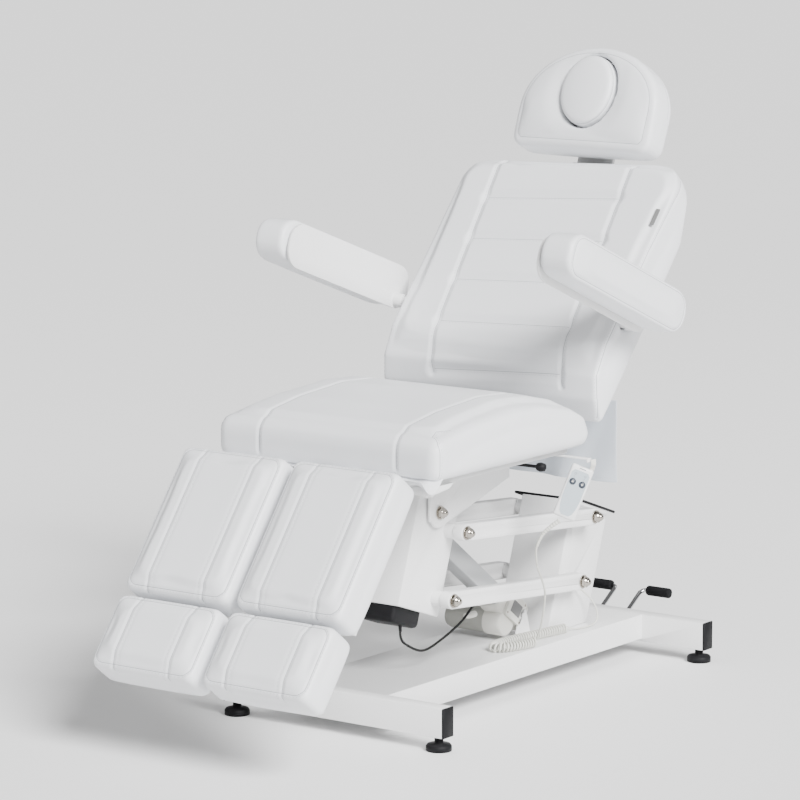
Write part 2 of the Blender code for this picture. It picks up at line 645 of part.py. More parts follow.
# ---------------------------------------------------------------- backrest
def build_backrest(frame, wood, leather, paint):
    """Flat in its own frame: +Y towards the head, face up."""
    profile = [(-0.006, BACK_REAR), (0.025, 0.050), (0.066, 0.090), (0.140, BACK_FACE), (BACK_END - 0.030, BACK_FACE),
               (BACK_END, 0.085), (BACK_END, 0.055), (0.580, 0.030), (0.500, BACK_REAR)]
    cushion = prism("backrest_cushion", profile, -BACK_HALF_WIDTH, BACK_HALF_WIDTH, frame, leather)
    bevel(cushion, 0.010, 2, 60)
    for side in (-1, 1):
        cut(cushion, top_corner(f"back_corner_{side}", side, frame, leather))
        x = side * POST_X
        z = post_height()
        cut(cushion, rod(f"post_hole_{side}", (x, 0.44, z), (x, 0.72, z), POST_RADIUS + 0.0015, frame, leather, 16))
        hub = armrest_hub_local()
        start, end = (side * 0.270, *hub), (side * 0.340, *hub)
        cut(cushion, rod(f"axle_hole_{side}", start, end, 0.0138, frame, leather))
    half, reach = HINGE_NOTCH
    cut(cushion, box("hinge_notch", (-half, -0.1, -0.1), (half, reach, reach), frame, leather))
    top = BACK_REAR - GAP
    board = rounded_outline((-0.283, 0.040), (0.283, 0.480), 0.055, 4)
    prism("backrest_board", board, top - 0.0115, top, frame, wood, axis="Z")
    build_back_frame(frame, paint, top - 0.0115 - GAP)


def top_corner(name, side, frame, material):
    """What the cushion loses at an upper corner: the square outside a large radius."""
    radius = 0.090
    centre = (BACK_HALF_WIDTH - radius, BACK_END - radius)
    outline = arc(centre, radius, -6, 96, 8)
    outline += [(centre[0] - 0.02, BACK_END + 0.05), (BACK_HALF_WIDTH + 0.05, BACK_END + 0.05),
                (BACK_HALF_WIDTH + 0.05, centre[1] - 0.02)]
    outline = [(side * x, y) for x, y in outline]
    return prism(name, outline, -0.1, 0.2, frame, material, axis="Z")


def armrest_hub_local():
    dy, dz = ARMREST_PIVOT[0] - BACK_PIVOT[0], ARMREST_PIVOT[1] - BACK_PIVOT[1]
    return turned(dy, dz, -BACK_PITCH)


def post_height():
    """Height of the headrest posts above the backrest pivot when flat."""
    dy, dz = HEAD_PIVOT[0] - BACK_PIVOT[0], HEAD_PIVOT[1] - BACK_PIVOT[1]
    return turned(dy, dz, -BACK_PITCH)[1]


def build_back_frame(frame, paint, top):
    """Channel behind the board, open towards it, with a hub at the pivot and the gas spring's lever."""
    low = top - 0.028
    channel = box("backrest_frame", (-0.080, 0.060, low), (0.080, 0.460, top), frame, paint)
    cut(channel, box("back_channel_hollow", (-0.077, 0.063, low + 0.003), (0.077, 0.470, top + 0.01), frame, paint))
    cheek = [(0.016, 0.004), (-0.016, 0.004), (-0.012, -0.012), (0.050, low + 0.001), (0.110, low + 0.001),
             (0.110, top - 0.001), (0.036, top - 0.001), (0.028, -0.015)]
    for side in (-1, 1):
        inner, outer = sorted((side * 0.0710, side * 0.0795))
        join(channel, prism(f"back_cheek_{side}", cheek, inner, outer, frame, paint))
    join(channel, rod("back_hub", (-0.0960, 0, 0), (0.0960, 0, 0), 0.0180, frame, paint))
    ly, lz = GAS_LEVER
    lever = [(-0.012, -0.008), (0.014, -0.008)] + arc((ly, lz), 0.009, 0, -180, 8)
    join(channel, prism("back_lever", lever, -0.006, 0.006, frame, paint))
    join(channel, rod("lever_pin", (-0.0068, ly, lz), (0.0068, ly, lz), 0.004, frame, paint, 16))
    cut(channel, bore("back_hub_bore", (0, 0), frame, paint, radius=0.0124))


# ---------------------------------------------------------------- gas spring
GAS_EYE = offset(BACK_PIVOT, *GAS_LEVER, BACK_PITCH)
GAS_SPAN = math.dist(GAS_ANCHOR, GAS_EYE)
GAS_PITCH = math.degrees(math.atan2(GAS_EYE[1] - GAS_ANCHOR[1], GAS_EYE[0] - GAS_ANCHOR[0]))


def build_gas_spring(frame, rod_frame, black, steel):
    """+Y points from the anchor to the lever's eye."""
    cylinder = rod("gas_spring_cylinder", (0, 0.016, 0), (0, 0.150, 0), 0.0125, frame, black)
    eye = rod("gas_cylinder_eye", (-0.008, 0, 0), (0.008, 0, 0), 0.0105, frame, black, 20)
    neck = box("gas_cylinder_neck", (-0.006, 0.004, -0.006), (0.006, 0.020, 0.006), frame, black)
    join(cylinder, neck, eye)
    cut(cylinder, bore("gas_eye_bore", (0, 0), frame, black, radius=0.0046))
    cut(cylinder, rod("gas_cylinder_bore", (0, 0.040, 0), (0, 0.17, 0), 0.0056, frame, black, 16))
    neck_end = GAS_SPAN - FORK_LENGTH
    bar = rod("gas_spring_rod", (0, 0.105, 0), (0, neck_end + 0.002, 0), 0.0052, rod_frame, steel, 16)
    for side in (-1, 1):
        low, high = sorted((side * 0.0078, side * 0.0115))
        outline = [(neck_end, -0.006)] + arc((GAS_SPAN, 0), 0.009, -90, 90, 8) + [(neck_end, 0.006)]
        join(bar, prism(f"gas_fork_{side}", outline, low, high, rod_frame, steel))
    join(bar, box("gas_fork_bridge", (-0.0112, neck_end + 0.0003, -0.0058), (0.0112, neck_end + 0.006, 0.0058),
                  rod_frame, steel))


# ---------------------------------------------------------------- headrest
def build_headrest(post_frame, frame, plug_frame, leather, steel, wood):
    """Posts slide in the backrest cushion; the headrest tilts on their cross bar."""
    build_posts(post_frame, steel)
    cushion = prism("headrest_cushion", head_outline(0), HEAD_LOW, HEAD_FACE, frame, leather, axis="Z", smooth=True)
    bevel(cushion, 0.014, 2, 60)
    cut(cushion, oval("face_hole", PLUG_CLEARANCE, -0.1, 0.2, PLUG_CENTRE, frame, leather))
    plug = oval("face_plug", 0, 0.020 - HEAD_FACE, 0.012, 0, plug_frame, leather)
    bevel(plug, 0.010, 2)
    board = prism("headrest_bracket", head_outline(0.014), -0.0100, HEAD_LOW - GAP, frame, wood, axis="Z")
    cut(board, oval("board_hole", PLUG_CLEARANCE, -0.1, 0.2, PLUG_CENTRE, frame, wood))
    join(board, rod("head_sleeve", (-0.052, 0, 0), (0.052, 0, 0), 0.0160, frame, wood))
    join(board, box("head_web", (-0.050, 0.002, -0.0150), (0.050, 0.060, -0.0060), frame, wood))
    cut(board, bore("head_sleeve_bore", (0, 0), frame, wood, radius=0.0104))


def build_posts(frame, steel):
    posts = rod("headrest_posts", (-0.0850, 0, 0), (0.0850, 0, 0), 0.0100, frame, steel)
    for side in (-1, 1):
        x = side * POST_X
        join(posts, rod(f"post_{side}", (x, -POST_DEPTH, 0), (x, 0.002, 0), POST_RADIUS, frame, steel, 16))


def head_outline(inset):
    """A flat-bottomed arch: round lower corners, straight sides and an elliptical top."""
    half, bottom = HEAD_HALF_WIDTH - inset, HEAD_BOTTOM + inset
    points = arc((half - HEAD_CORNER, bottom + HEAD_CORNER), HEAD_CORNER, -90, 0, 4)
    for step in range(19):
        angle = math.radians(180 * step / 18)
        points.append((half * math.cos(angle), HEAD_SHOULDER + (HEAD_ARCH - inset) * math.sin(angle)))
    points += arc((HEAD_CORNER - half, bottom + HEAD_CORNER), HEAD_CORNER, 180, 270, 4)
    return points


def oval(name, margin, low, high, along, frame, material):
    """The face plug's outline, enlarged by a margin."""
    outline = []
    for step in range(28):
        angle = 2 * math.pi * step / 28
        x = (PLUG_HALF_WIDTH + margin) * math.cos(angle)
        outline.append((x, along + (PLUG_HALF_LENGTH + margin) * math.sin(angle)))
    return prism(name, outline, low, high, frame, material, axis="Z", smooth=True)


# ---------------------------------------------------------------- armrests
def build_armrest(side, side_name, frame, leather, paint):
    """Level in its own frame: -Y towards the hand; the pad stands on its long edge beside the plate."""
    shape = rounded_outline((ARMREST_FRONT, ARMREST_LOW), (ARMREST_REAR, ARMREST_TOP), 0.050, 5)
    low, high = sorted((side * ARMREST_INNER_X, side * ARMREST_OUTER_X))
    pad = prism(f"armrest_pad_{side_name}", shape, low, high, frame, leather, smooth=True)
    bevel(pad, 0.010, 2, 60)
    plate_low = (ARMREST_FRONT + 0.014, ARMREST_LOW - 0.004)
    plate_high = (ARMREST_REAR - 0.014, ARMREST_TOP - 0.012)
    outer = ARMREST_INNER_X - GAP
    low, high = sorted((side * (outer - 0.006), side * outer))
    shape = rounded_outline(plate_low, plate_high, 0.045, 5)
    plate = prism(f"armrest_plate_{side_name}", shape, low, high, frame, paint)
    joint_x = side * (outer - 0.003)
    join(plate, rod(f"armrest_hub_{side_name}", (side * 0.3190, 0, 0), (joint_x, 0, 0), 0.0170, frame, paint))
    join(plate, rod(f"armrest_axle_{side_name}", (side * 0.285, 0, 0), (joint_x, 0, 0), 0.0125, frame, paint))


# ---------------------------------------------------------------- leg rests
def build_leg(side, side_name, frame, foot_frame, leather, paint):
    """Level in its own frame: -Y towards the foot, face up, pivot shaft along X."""
    low_x, high_x = sorted((side * LEG_INNER_X, side * LEG_OUTER_X))
    middle = side * (LEG_INNER_X + LEG_OUTER_X) / 2
    low = LEG_FACE - LEG_CUSHION
    calf_end = CALF_START + CALF_LENGTH
    calf = box(f"calf_pad_{side_name}", (low_x, -calf_end, low), (high_x, -CALF_START, LEG_FACE), frame, leather)
    bevel(calf, 0.018, 3)
    foot_start = calf_end + PAD_GAP
    foot_end = foot_start + FOOT_PAD_LENGTH
    foot = box(f"foot_pad_{side_name}", (low_x, -foot_end, low), (high_x, -foot_start, LEG_FACE), foot_frame, leather)
    bevel(foot, 0.018, 3)
    board_top = low - GAP
    board_low = board_top - 0.0115
    board = box(f"leg_frame_{side_name}", (low_x + 0.020, -calf_end + 0.015, board_low),
                (high_x - 0.020, -CALF_START - 0.010, board_top), frame, paint)
    rail_low = board_low - 0.0297
    rail = box(f"leg_rail_{side_name}", (middle - 0.015, -0.365, rail_low), (middle + 0.015, -0.020, board_low + 0.001),
               frame, paint)
    neck = box(f"leg_neck_{side_name}", (middle - 0.0148, -0.060, 0.0005), (middle + 0.0148, -0.006, 0.0172),
               frame, paint)
    hub = rod(f"leg_hub_{side_name}", (middle - 0.032, 0, 0), (middle + 0.032, 0, 0), 0.0178, frame, paint)
    join(board, rail, neck, hub)
    cut(board, bore(f"leg_hub_bore_{side_name}", (0, 0), frame, paint, half_length=0.4, radius=0.0129))
    rail_middle = rail_low + 0.0148
    half = RAIL_BORE / 2
    cut(board, box(f"rail_bore_{side_name}", (middle - half, -0.40, rail_middle - half),
                   (middle + half, -0.070, rail_middle + half), frame, paint))
    bar_half = half - 0.0004
    slide = box(f"foot_slide_{side_name}", (middle - bar_half, -foot_end + 0.030, rail_middle - bar_half),
                (middle + bar_half, -0.210, rail_middle + bar_half), foot_frame, paint)
    packer = box(f"foot_packer_{side_name}", (middle - 0.030, -foot_end + 0.025, rail_middle + bar_half - 0.002),
                 (middle + 0.030, -foot_start - 0.020, board_low + 0.001), foot_frame, paint)
    plate = box(f"foot_board_{side_name}", (low_x + 0.020, -foot_end + 0.020, board_low),
                (high_x - 0.020, -foot_start - 0.012, board_top), foot_frame, paint)
    join(slide, packer, plate)


# ---------------------------------------------------------------- handset
def handset_matrix():
    up = Vector(HANDSET_UP).normalized()
    facing = Vector(HANDSET_FACING)
    facing = (facing - up * facing.dot(up)).normalized()
    across = up.cross(facing)
    turn = Matrix((across, up, facing)).transposed().to_4x4()
    return Matrix.Translation(HANDSET_TOP) @ turn


def build_handset(seat_frame, white, grey):
    frame = place_empty("handset_axis", seat_frame, handset_matrix())
    width, length, thick = HANDSET_SIZE
    body = box("handset_body", (-width / 2, -length, -thick), (width / 2, 0, 0), frame, white)
    bevel(body, 0.005, 3)
    for side, label in ((-1, "up"), (1, "down")):
        centre = (side * 0.0115, -0.040)
        well = rod(f"button_well_{label}", (*centre, -0.0040), (*centre, 0.01), 0.0068, frame, white, 20)
        cut(body, well)
        place = handset_matrix() @ Matrix.Translation((*centre, 0))
        button_frame = place_empty(f"button_axis_{label}", frame, place)
        profile = [(0, -0.0025), (0.0062, -0.0025), (0.0062, 0.0006), (0.0050, 0.0013), (0, 0.0015)]
        turned_piece(f"button_{label}", profile, button_frame, grey, sides=20)


# ---------------------------------------------------------------- control box
def build_control_box(frame, plastic):
    """Black box in the carriage's open foot, in the carriage's leaning frame."""
    casing = box("control_box", (-0.060, 0.0045, -0.038), (0.060, 0.112, 0.110), frame, plastic)
    bevel(casing, 0.012, 3)


def main():
    clear_scene()
    leather = make_material("white_leather", (0.86, 0.86, 0.87), 0.45)
    paint = make_material("white_powder_coat", (0.85, 0.85, 0.86), 0.35)
    plastic = make_material("black_plastic", (0.02, 0.02, 0.02), 0.50)
    steel = make_material("stainless_steel", (0.62, 0.60, 0.57), 0.25, 1.0)
    chrome = make_material("chrome", (0.75, 0.75, 0.76), 0.10, 1.0)
    grey = make_material("grey_aluminium", (0.55, 0.56, 0.57), 0.40, 0.6)
    cream = make_material("cream_plastic", (0.80, 0.79, 0.74), 0.45)
    wood = make_material("backing_board", (0.78, 0.78, 0.78), 0.60)
    handset_grey = make_material("button_grey", (0.20, 0.22, 0.25), 0.45)

    root = place_empty("base_axis", None, Matrix.Identity(4))
    root.location.y = ORIGIN_SHIFT
    build_base(root, paint, plastic)
    build_feet(root, plastic)
    build_column(root, paint)
    build_shaft("shaft_lower_rear", LOWER_REAR, ARM_OUTER_X, root, steel)
    build_shaft("shaft_upper_rear", UPPER_REAR, ARM_OUTER_X, root, steel)
    for side, side_name in ((-1, "right"), (1, "left")):
        build_pedal(f"pedal_{side_name}", side, root, chrome, plastic)

    lower = pitch_frame("lower_arm_axis", root, LOWER_REAR, 0)
    upper = pitch_frame("upper_arm_axis", root, UPPER_REAR, 0)
    for side, side_name in ((-1, "right"), (1, "left")):
        build_arm(f"lower_arm_{side_name}", LOWER_REAR, LOWER_FRONT, side, lower, paint)
        build_arm(f"upper_arm_{side_name}", UPPER_REAR, UPPER_FRONT, side, upper, paint)

    carriage_axis = pitch_frame("carriage_axis", lower, LOWER_FRONT, 0)
    leaning = pitch_frame("carriage_lean", carriage_axis, CARRIAGE_CORNER, -LEAN)
    build_carriage(leaning, paint)
    build_control_box(leaning, plastic)
    build_shaft("shaft_lower_front", (0, 0), ARM_OUTER_X, carriage_axis, steel)
    rise = (UPPER_FRONT[0] - LOWER_FRONT[0], UPPER_FRONT[1] - LOWER_FRONT[1])
    build_shaft("shaft_upper_front", rise, ARM_OUTER_X, carriage_axis, steel)
    tilt = (SEAT_PIVOT[0] - LOWER_FRONT[0], SEAT_PIVOT[1] - LOWER_FRONT[1])
    build_shaft("shaft_seat_tilt", tilt, GUSSET_OUTER_X, carriage_axis, steel)

    actuator = pitch_frame("actuator_axis", root, ACTUATOR_FOOT, -ACTUATOR_RISE)
    actuator_rod = pitch_frame("actuator_rod_axis", actuator, ACTUATOR_FOOT, -ACTUATOR_RISE)
    build_actuator(actuator, actuator_rod, steel, cream, grey)

    seat = pitch_frame("seat_axis", carriage_axis, SEAT_PIVOT, 0)
    build_seat(seat, wood, leather, paint)
    build_leg_pivot(seat, paint)
    build_back_pivot(seat, paint)
    build_seat_fittings(seat, leather, paint)
    knob = place_empty("knob_axis", seat, Matrix.Translation(KNOB_PLACE))
    build_release_knob(knob, plastic)

    back = pitch_frame("backrest_axis", seat, BACK_PIVOT, BACK_PITCH)
    build_backrest(back, wood, leather, paint)
    gas = pitch_frame("gas_spring_axis", seat, GAS_ANCHOR, GAS_PITCH)
    gas_rod = pitch_frame("gas_rod_axis", gas, GAS_ANCHOR, GAS_PITCH)
    build_gas_spring(gas, gas_rod, plastic, steel)

    posts = pitch_frame("post_axis", back, HEAD_PIVOT, BACK_PITCH)
    head = pitch_frame("headrest_axis", posts, HEAD_PIVOT, HEAD_PITCH)
    plug = pitch_frame("plug_axis", head, offset(HEAD_PIVOT, PLUG_CENTRE, HEAD_FACE, HEAD_PITCH), HEAD_PITCH)
    build_headrest(posts, head, plug, leather, steel, wood)

    for side, side_name in ((-1, "right"), (1, "left")):
        armrest = pitch_frame(f"armrest_axis_{side_name}", back, ARMREST_PIVOT, -ARMREST_RISE[side])
        build_armrest(side, side_name, armrest, leather, paint)
        leg = pitch_frame(f"leg_axis_{side_name}", seat, LEG_PIVOT, LEG_DROP)
        foot = pitch_frame(f"foot_pad_axis_{side_name}", leg, LEG_PIVOT, LEG_DROP)
        build_leg(side, side_name, leg, foot, leather, paint)
    build_handset(seat, paint, handset_grey)


main()
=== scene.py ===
"""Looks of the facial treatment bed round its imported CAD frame: upholstery, seams, cords, handset and trims.

Metres, row frame: the floor is Z 0, -Y the foot end and +X the occupant's left.
"""

import json
import math

import bmesh
import bpy
import numpy as np
from mathutils import Matrix, Vector, noise
from mathutils.bvhtree import BVHTree
from mathutils.kdtree import KDTree

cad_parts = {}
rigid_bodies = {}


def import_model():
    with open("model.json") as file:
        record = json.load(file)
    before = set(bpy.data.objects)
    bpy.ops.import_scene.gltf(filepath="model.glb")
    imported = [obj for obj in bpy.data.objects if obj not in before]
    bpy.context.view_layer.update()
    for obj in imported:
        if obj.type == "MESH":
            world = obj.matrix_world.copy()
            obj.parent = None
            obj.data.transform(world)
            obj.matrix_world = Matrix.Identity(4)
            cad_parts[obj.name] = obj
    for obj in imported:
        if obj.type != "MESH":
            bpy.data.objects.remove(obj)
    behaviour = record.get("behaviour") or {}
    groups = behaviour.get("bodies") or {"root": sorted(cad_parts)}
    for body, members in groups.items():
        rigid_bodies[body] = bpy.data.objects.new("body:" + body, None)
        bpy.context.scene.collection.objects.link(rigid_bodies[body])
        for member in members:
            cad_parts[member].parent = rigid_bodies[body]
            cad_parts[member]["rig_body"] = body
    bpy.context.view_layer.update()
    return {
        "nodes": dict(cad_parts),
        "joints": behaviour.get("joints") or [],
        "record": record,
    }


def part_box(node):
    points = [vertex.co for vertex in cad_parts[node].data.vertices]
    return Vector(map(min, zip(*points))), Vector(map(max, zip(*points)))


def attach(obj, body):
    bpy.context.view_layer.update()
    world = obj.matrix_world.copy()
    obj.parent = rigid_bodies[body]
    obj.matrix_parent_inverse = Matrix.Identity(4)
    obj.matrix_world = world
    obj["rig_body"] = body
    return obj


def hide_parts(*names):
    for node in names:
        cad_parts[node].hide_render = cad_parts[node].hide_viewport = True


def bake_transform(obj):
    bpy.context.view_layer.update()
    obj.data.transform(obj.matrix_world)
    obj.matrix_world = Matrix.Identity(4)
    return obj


BACK_PITCH = 48.7
HEAD_PITCH = 66.8
ARMREST_RISE = {1: 22.5, -1: 19.5}
LEG_DROP = 52.2
HANDSET_TOP = Vector((0.333, 0.1368, 0.568))
HANDSET_UP = Vector((0.216, 0.340, 0.915)).normalized()
HANDSET_FACING = Vector((0.583, -0.797, 0.158)).normalized()
COLUMN_TOP = ((0.4839, 0.4109), (0.6352, 0.3588))   # (y, z) of the column's front and rear top edges
SIDES = {1: "left", -1: "right"}
BUTTON_X, BUTTON_Y = 0.0115, -0.040                 # on the handset's face, from its top middle
APRON_TOP = 0.694                                   # Z of the apron's upper edge beside the hub
APRON_TOP_MIDDLE = 0.652                            # and under the hub, where |x| < APRON_NOTCH
APRON_NOTCH = 0.095
ARM_PAD_HELD = 0.352                                # |x| up to which an arm pad is fixed to its plate
CLOTH_FRAMES = 20
PRESSURE = 4.0
CAMERA_AT = (5.137, -7.1432, 2.121)
CAMERA_AIM = (0.0045, -0.1232, 0.7248)
LENS_MM = 174.9
FLOOR_HALF = 150

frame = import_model()
JOINTS = {joint["name"]: joint for joint in frame["joints"]}


# ---------------------------------------------------------------- frames and small helpers
def pitched(joint, degrees):
    """A frame on a hinge, turned about X; positive degrees lift +Y."""
    return Matrix.Translation(JOINTS[joint]["pos_m"]) @ Matrix.Rotation(math.radians(degrees), 4, "X")


def axes_frame(origin, up, facing):
    across = up.cross(facing).normalized()
    facing = across.cross(up)
    matrix = Matrix((across, up, facing)).transposed().to_4x4()
    matrix.translation = origin
    return matrix


ROW = Matrix.Identity(4)
BACK = pitched("backrest_recline", BACK_PITCH)
HEAD = pitched("headrest_tilt", HEAD_PITCH)
ARM = {side: pitched(f"armrest_swing_{word}", -ARMREST_RISE[side]) for side, word in SIDES.items()}
LEG = {side: pitched(f"leg_lift_{word}", LEG_DROP) for side, word in SIDES.items()}
HANDSET = axes_frame(HANDSET_TOP, HANDSET_UP, HANDSET_FACING)


def read(mesh):
    points = np.empty(len(mesh.vertices) * 3)
    mesh.vertices.foreach_get("co", points)
    return points.reshape(-1, 3)


def write(mesh, points):
    mesh.vertices.foreach_set("co", points.ravel())
    mesh.update()


def add_object(name, mesh, material=None, matrix=ROW, smooth=True):
    obj = bpy.data.objects.new(name, mesh)
    bpy.context.scene.collection.objects.link(obj)
    obj.matrix_world = matrix
    if material:
        mesh.materials.clear()
        mesh.materials.append(material)
    if smooth:
        mesh.shade_smooth()
    return obj


def from_bmesh(name, bm, material, matrix=ROW, smooth=True):
    bmesh.ops.recalc_face_normals(bm, faces=bm.faces)
    mesh = bpy.data.meshes.new(name)
    bm.to_mesh(mesh)
    bm.free()
    return add_object(name, mesh, material, matrix, smooth)


def baked(obj):
    """Replaces obj's mesh by what its modifiers make of it."""
    graph = bpy.context.evaluated_depsgraph_get()
    mesh = bpy.data.meshes.new_from_object(obj.evaluated_get(graph))
    obj.modifiers.clear()
    obj.data = mesh


def smooth_path(points, step):
    """Points along a Catmull-Rom curve through the given ones, step apart."""
    given = [Vector(p) for p in points]
    ends = [2 * given[0] - given[1], *given, 2 * given[-1] - given[-2]]
    dense = []
    for a, b, c, d in zip(ends, ends[1:], ends[2:], ends[3:]):
        count = max(2, int((c - b).length / step))
        for i in range(count):
            t = i / count
            dense.append(0.5 * (2 * b + (c - a) * t + (2 * a - 5 * b + 4 * c - d) * t * t
                                + (3 * b - a - 3 * c + d) * t ** 3))
    dense.append(given[-1])
    return dense


def frames_along(path):
    """(point, across, up) along a path, carried on without twist."""
    up = Vector((0, 0, 1))
    if abs((path[1] - path[0]).normalized().z) > 0.9:
        up = Vector((1, 0, 0))
    made = []
    for i, point in enumerate(path):
        along = (path[min(i + 1, len(path) - 1)] - path[max(i - 1, 0)]).normalized()
        across = along.cross(up).normalized()
        up = across.cross(along)
        made.append((point, across, up))
    return made


def tube_rings(bm, path, radius, sides, taper=None):
    rings = []
    for index, (point, across, up) in enumerate(frames_along(path)):
        r = radius * (taper(index / (len(path) - 1)) if taper else 1)
        rings.append([bm.verts.new(point + (across * math.cos(a) + up * math.sin(a)) * r)
                      for a in (2 * math.pi * s / sides for s in range(sides))])
    for low, high in zip(rings, rings[1:]):
        for s in range(sides):
            t = (s + 1) % sides
            bm.faces.new((low[s], low[t], high[t], high[s]))
    bm.faces.new(rings[0])
    bm.faces.new(list(reversed(rings[-1])))


def tube(name, points, radius, material, sides=10, step=0.006, taper=None, straight=False):
    """A round cord or bar along points."""
    path = [Vector(p) for p in points] if straight else smooth_path(points, step)
    bm = bmesh.new()
    tube_rings(bm, path, radius, sides, taper)
    return from_bmesh(name, bm, material)


def plate(name, outline, low, high, material, matrix=ROW, bevel=0.0):
    """A flat piece with this (x, y) outline between two heights, its edges softened when a bevel width is
    given.
    """
    bm = bmesh.new()
    lower = [bm.verts.new((x, y, low)) for x, y in outline]
    upper = [bm.verts.new((x, y, high)) for x, y in outline]
    bm.faces.new(list(reversed(lower)))
    bm.faces.new(upper)
    for i in range(len(outline)):
        j = (i + 1) % len(outline)
        bm.faces.new((lower[i], lower[j], upper[j], upper[i]))
    obj = from_bmesh(name, bm, material, matrix, smooth=False)
    if bevel:
        soften(obj, bevel)
    return obj


def soften(obj, width, segments=2):
    weld = obj.modifiers.new("weld", "WELD")
    weld.merge_threshold = 2e-5
    edge = obj.modifiers.new("edge", "BEVEL")
    edge.width = width
    edge.segments = segments
    edge.limit_method = "ANGLE"
    edge.angle_limit = math.radians(40)
    edge.harden_normals = True
    obj.data.shade_smooth()
    obj.data.set_sharp_from_angle(angle=math.radians(40))


def round_rect(x0, y0, x1, y1, radius, steps=6):
    points = []
    for cx, cy, start in ((x1 - radius, y0 + radius, -90), (x1 - radius, y1 - radius, 0),
                          (x0 + radius, y1 - radius, 90), (x0 + radius, y0 + radius, 180)):
        for i in range(steps + 1):
            a = math.radians(start + 90 * i / steps)
            points.append((cx + radius * math.cos(a), cy + radius * math.sin(a)))
    return points


# ---------------------------------------------------------------- materials
def material(name, colour, roughness, metallic=0.0, bump=0.0, scale=900.0, vary=0.0, coat=0.0,
             spread=0.0, stretch=None, specular=0.5, bump_depth=0.0003):
    """A procedural surface: fine bumps, and roughness and tone that vary a little."""
    made = bpy.data.materials.new(name)
    made.use_nodes = True
    nodes, links = made.node_tree.nodes, made.node_tree.links
    shader = nodes["Principled BSDF"]
    shader.inputs["Base Color"].default_value = (*colour, 1)
    shader.inputs["Roughness"].default_value = roughness
    shader.inputs["Metallic"].default_value = metallic
    shader.inputs["Coat Weight"].default_value = coat
    shader.inputs["Coat Roughness"].default_value = 0.25
    shader.inputs["Specular IOR Level"].default_value = specular
    place = nodes.new("ShaderNodeTexCoord")
    source = place.outputs["Object"]
    if stretch:
        mapping = nodes.new("ShaderNodeMapping")
        mapping.inputs["Scale"].default_value = stretch
        links.new(source, mapping.inputs["Vector"])
        source = mapping.outputs["Vector"]
    if bump:
        cells = nodes.new("ShaderNodeTexVoronoi")
        cells.inputs["Scale"].default_value = scale
        links.new(source, cells.inputs["Vector"])
        fine = nodes.new("ShaderNodeTexNoise")
        fine.inputs["Scale"].default_value = scale * 0.35
        fine.inputs["Detail"].default_value = 4
        links.new(source, fine.inputs["Vector"])
        mix = nodes.new("ShaderNodeMath")
        mix.operation = "ADD"
        links.new(cells.outputs["Distance"], mix.inputs[0])
        links.new(fine.outputs["Fac"], mix.inputs[1])
        relief = nodes.new("ShaderNodeBump")
        relief.inputs["Strength"].default_value = bump
        relief.inputs["Distance"].default_value = bump_depth
        links.new(mix.outputs[0], relief.inputs["Height"])
        links.new(relief.outputs["Normal"], shader.inputs["Normal"])
    if vary or spread:
        broad = nodes.new("ShaderNodeTexNoise")
        broad.inputs["Scale"].default_value = 14
        broad.inputs["Detail"].default_value = 3
        links.new(source, broad.inputs["Vector"])
        if vary:
            rough = nodes.new("ShaderNodeMapRange")
            rough.inputs["To Min"].default_value = roughness - vary
            rough.inputs["To Max"].default_value = roughness + vary
            links.new(broad.outputs["Fac"], rough.inputs["Value"])
            links.new(rough.outputs["Result"], shader.inputs["Roughness"])
        if spread:
            tone = nodes.new("ShaderNodeMix")
            tone.data_type = "RGBA"
            tone.inputs["A"].default_value = (*(c * (1 - spread) for c in colour), 1)
            tone.inputs["B"].default_value = (*(min(1, c * (1 + spread)) for c in colour), 1)
            links.new(broad.outputs["Fac"], tone.inputs["Factor"])
            links.new(tone.outputs["Result"], shader.inputs["Base Color"])
    return made


LEATHER = material("white_leather", (0.80, 0.81, 0.83), 0.46, bump=0.35, scale=700, vary=0.06, coat=0.05,
                   spread=0.012)
# Dark grey for the tubes in the seams: painted shade of the seam grooves.
SEAM_SHADE = material("seam_shadow", (0.30, 0.31, 0.33), 0.7)
THREAD = material("thread", (0.56, 0.57, 0.59), 0.6)
PAINT = material("white_powder_coat", (0.80, 0.80, 0.80), 0.34, bump=0.12, scale=1400, vary=0.04, coat=0.15,
                 spread=0.01, bump_depth=0.0001)
BLACK = material("black_plastic", (0.006, 0.006, 0.007), 0.55, specular=0.18, bump=0.3, scale=1200, vary=0.06)
FOAM = material("black_foam", (0.005, 0.005, 0.006), 0.8, specular=0.18, bump=0.8, scale=900, vary=0.08)
STEEL = material("stainless_steel", (0.40, 0.37, 0.33), 0.16, metallic=1, bump=0.15, scale=500, vary=0.08,
                 stretch=(1, 8, 8), bump_depth=0.0001)
CHROME = material("chrome", (0.52, 0.52, 0.53), 0.10, metallic=1, vary=0.03)
GREY = material("grey_aluminium", (0.52, 0.53, 0.54), 0.36, metallic=0.6, bump=0.1, scale=900, vary=0.06)
CREAM = material("cream_plastic", (0.72, 0.71, 0.66), 0.40, bump=0.15, scale=1100, vary=0.05)
BOARD = material("backing_board", (0.66, 0.66, 0.66), 0.62, bump=0.3, scale=600, vary=0.05, spread=0.03)
BUTTON = material("button_grey", (0.045, 0.055, 0.075), 0.40, vary=0.04)
FACE = material("handset_face", (0.44, 0.50, 0.54), 0.42, bump=0.1, scale=1500, vary=0.03)
CORD = material("white_cord", (0.62, 0.62, 0.57), 0.45, vary=0.05)
CABLE = material("black_cable", (0.012, 0.012, 0.012), 0.45, specular=0.18, vary=0.05)
MOTOR = material("motor_grey", (0.36, 0.36, 0.33), 0.45, bump=0.1, scale=900, vary=0.05)
LABEL = material("blank_label", (0.16, 0.16, 0.16), 0.5, vary=0.05, spread=0.1)
# Grey-blue apron colour: painted shade of the cloth that hangs in shadow under the seat.
CLOTH = material("apron_cloth", (0.56, 0.60, 0.65), 0.75, bump=0.5, scale=1300, spread=0.03)
PRINT = material("print_grey", (0.10, 0.12, 0.15), 0.6)
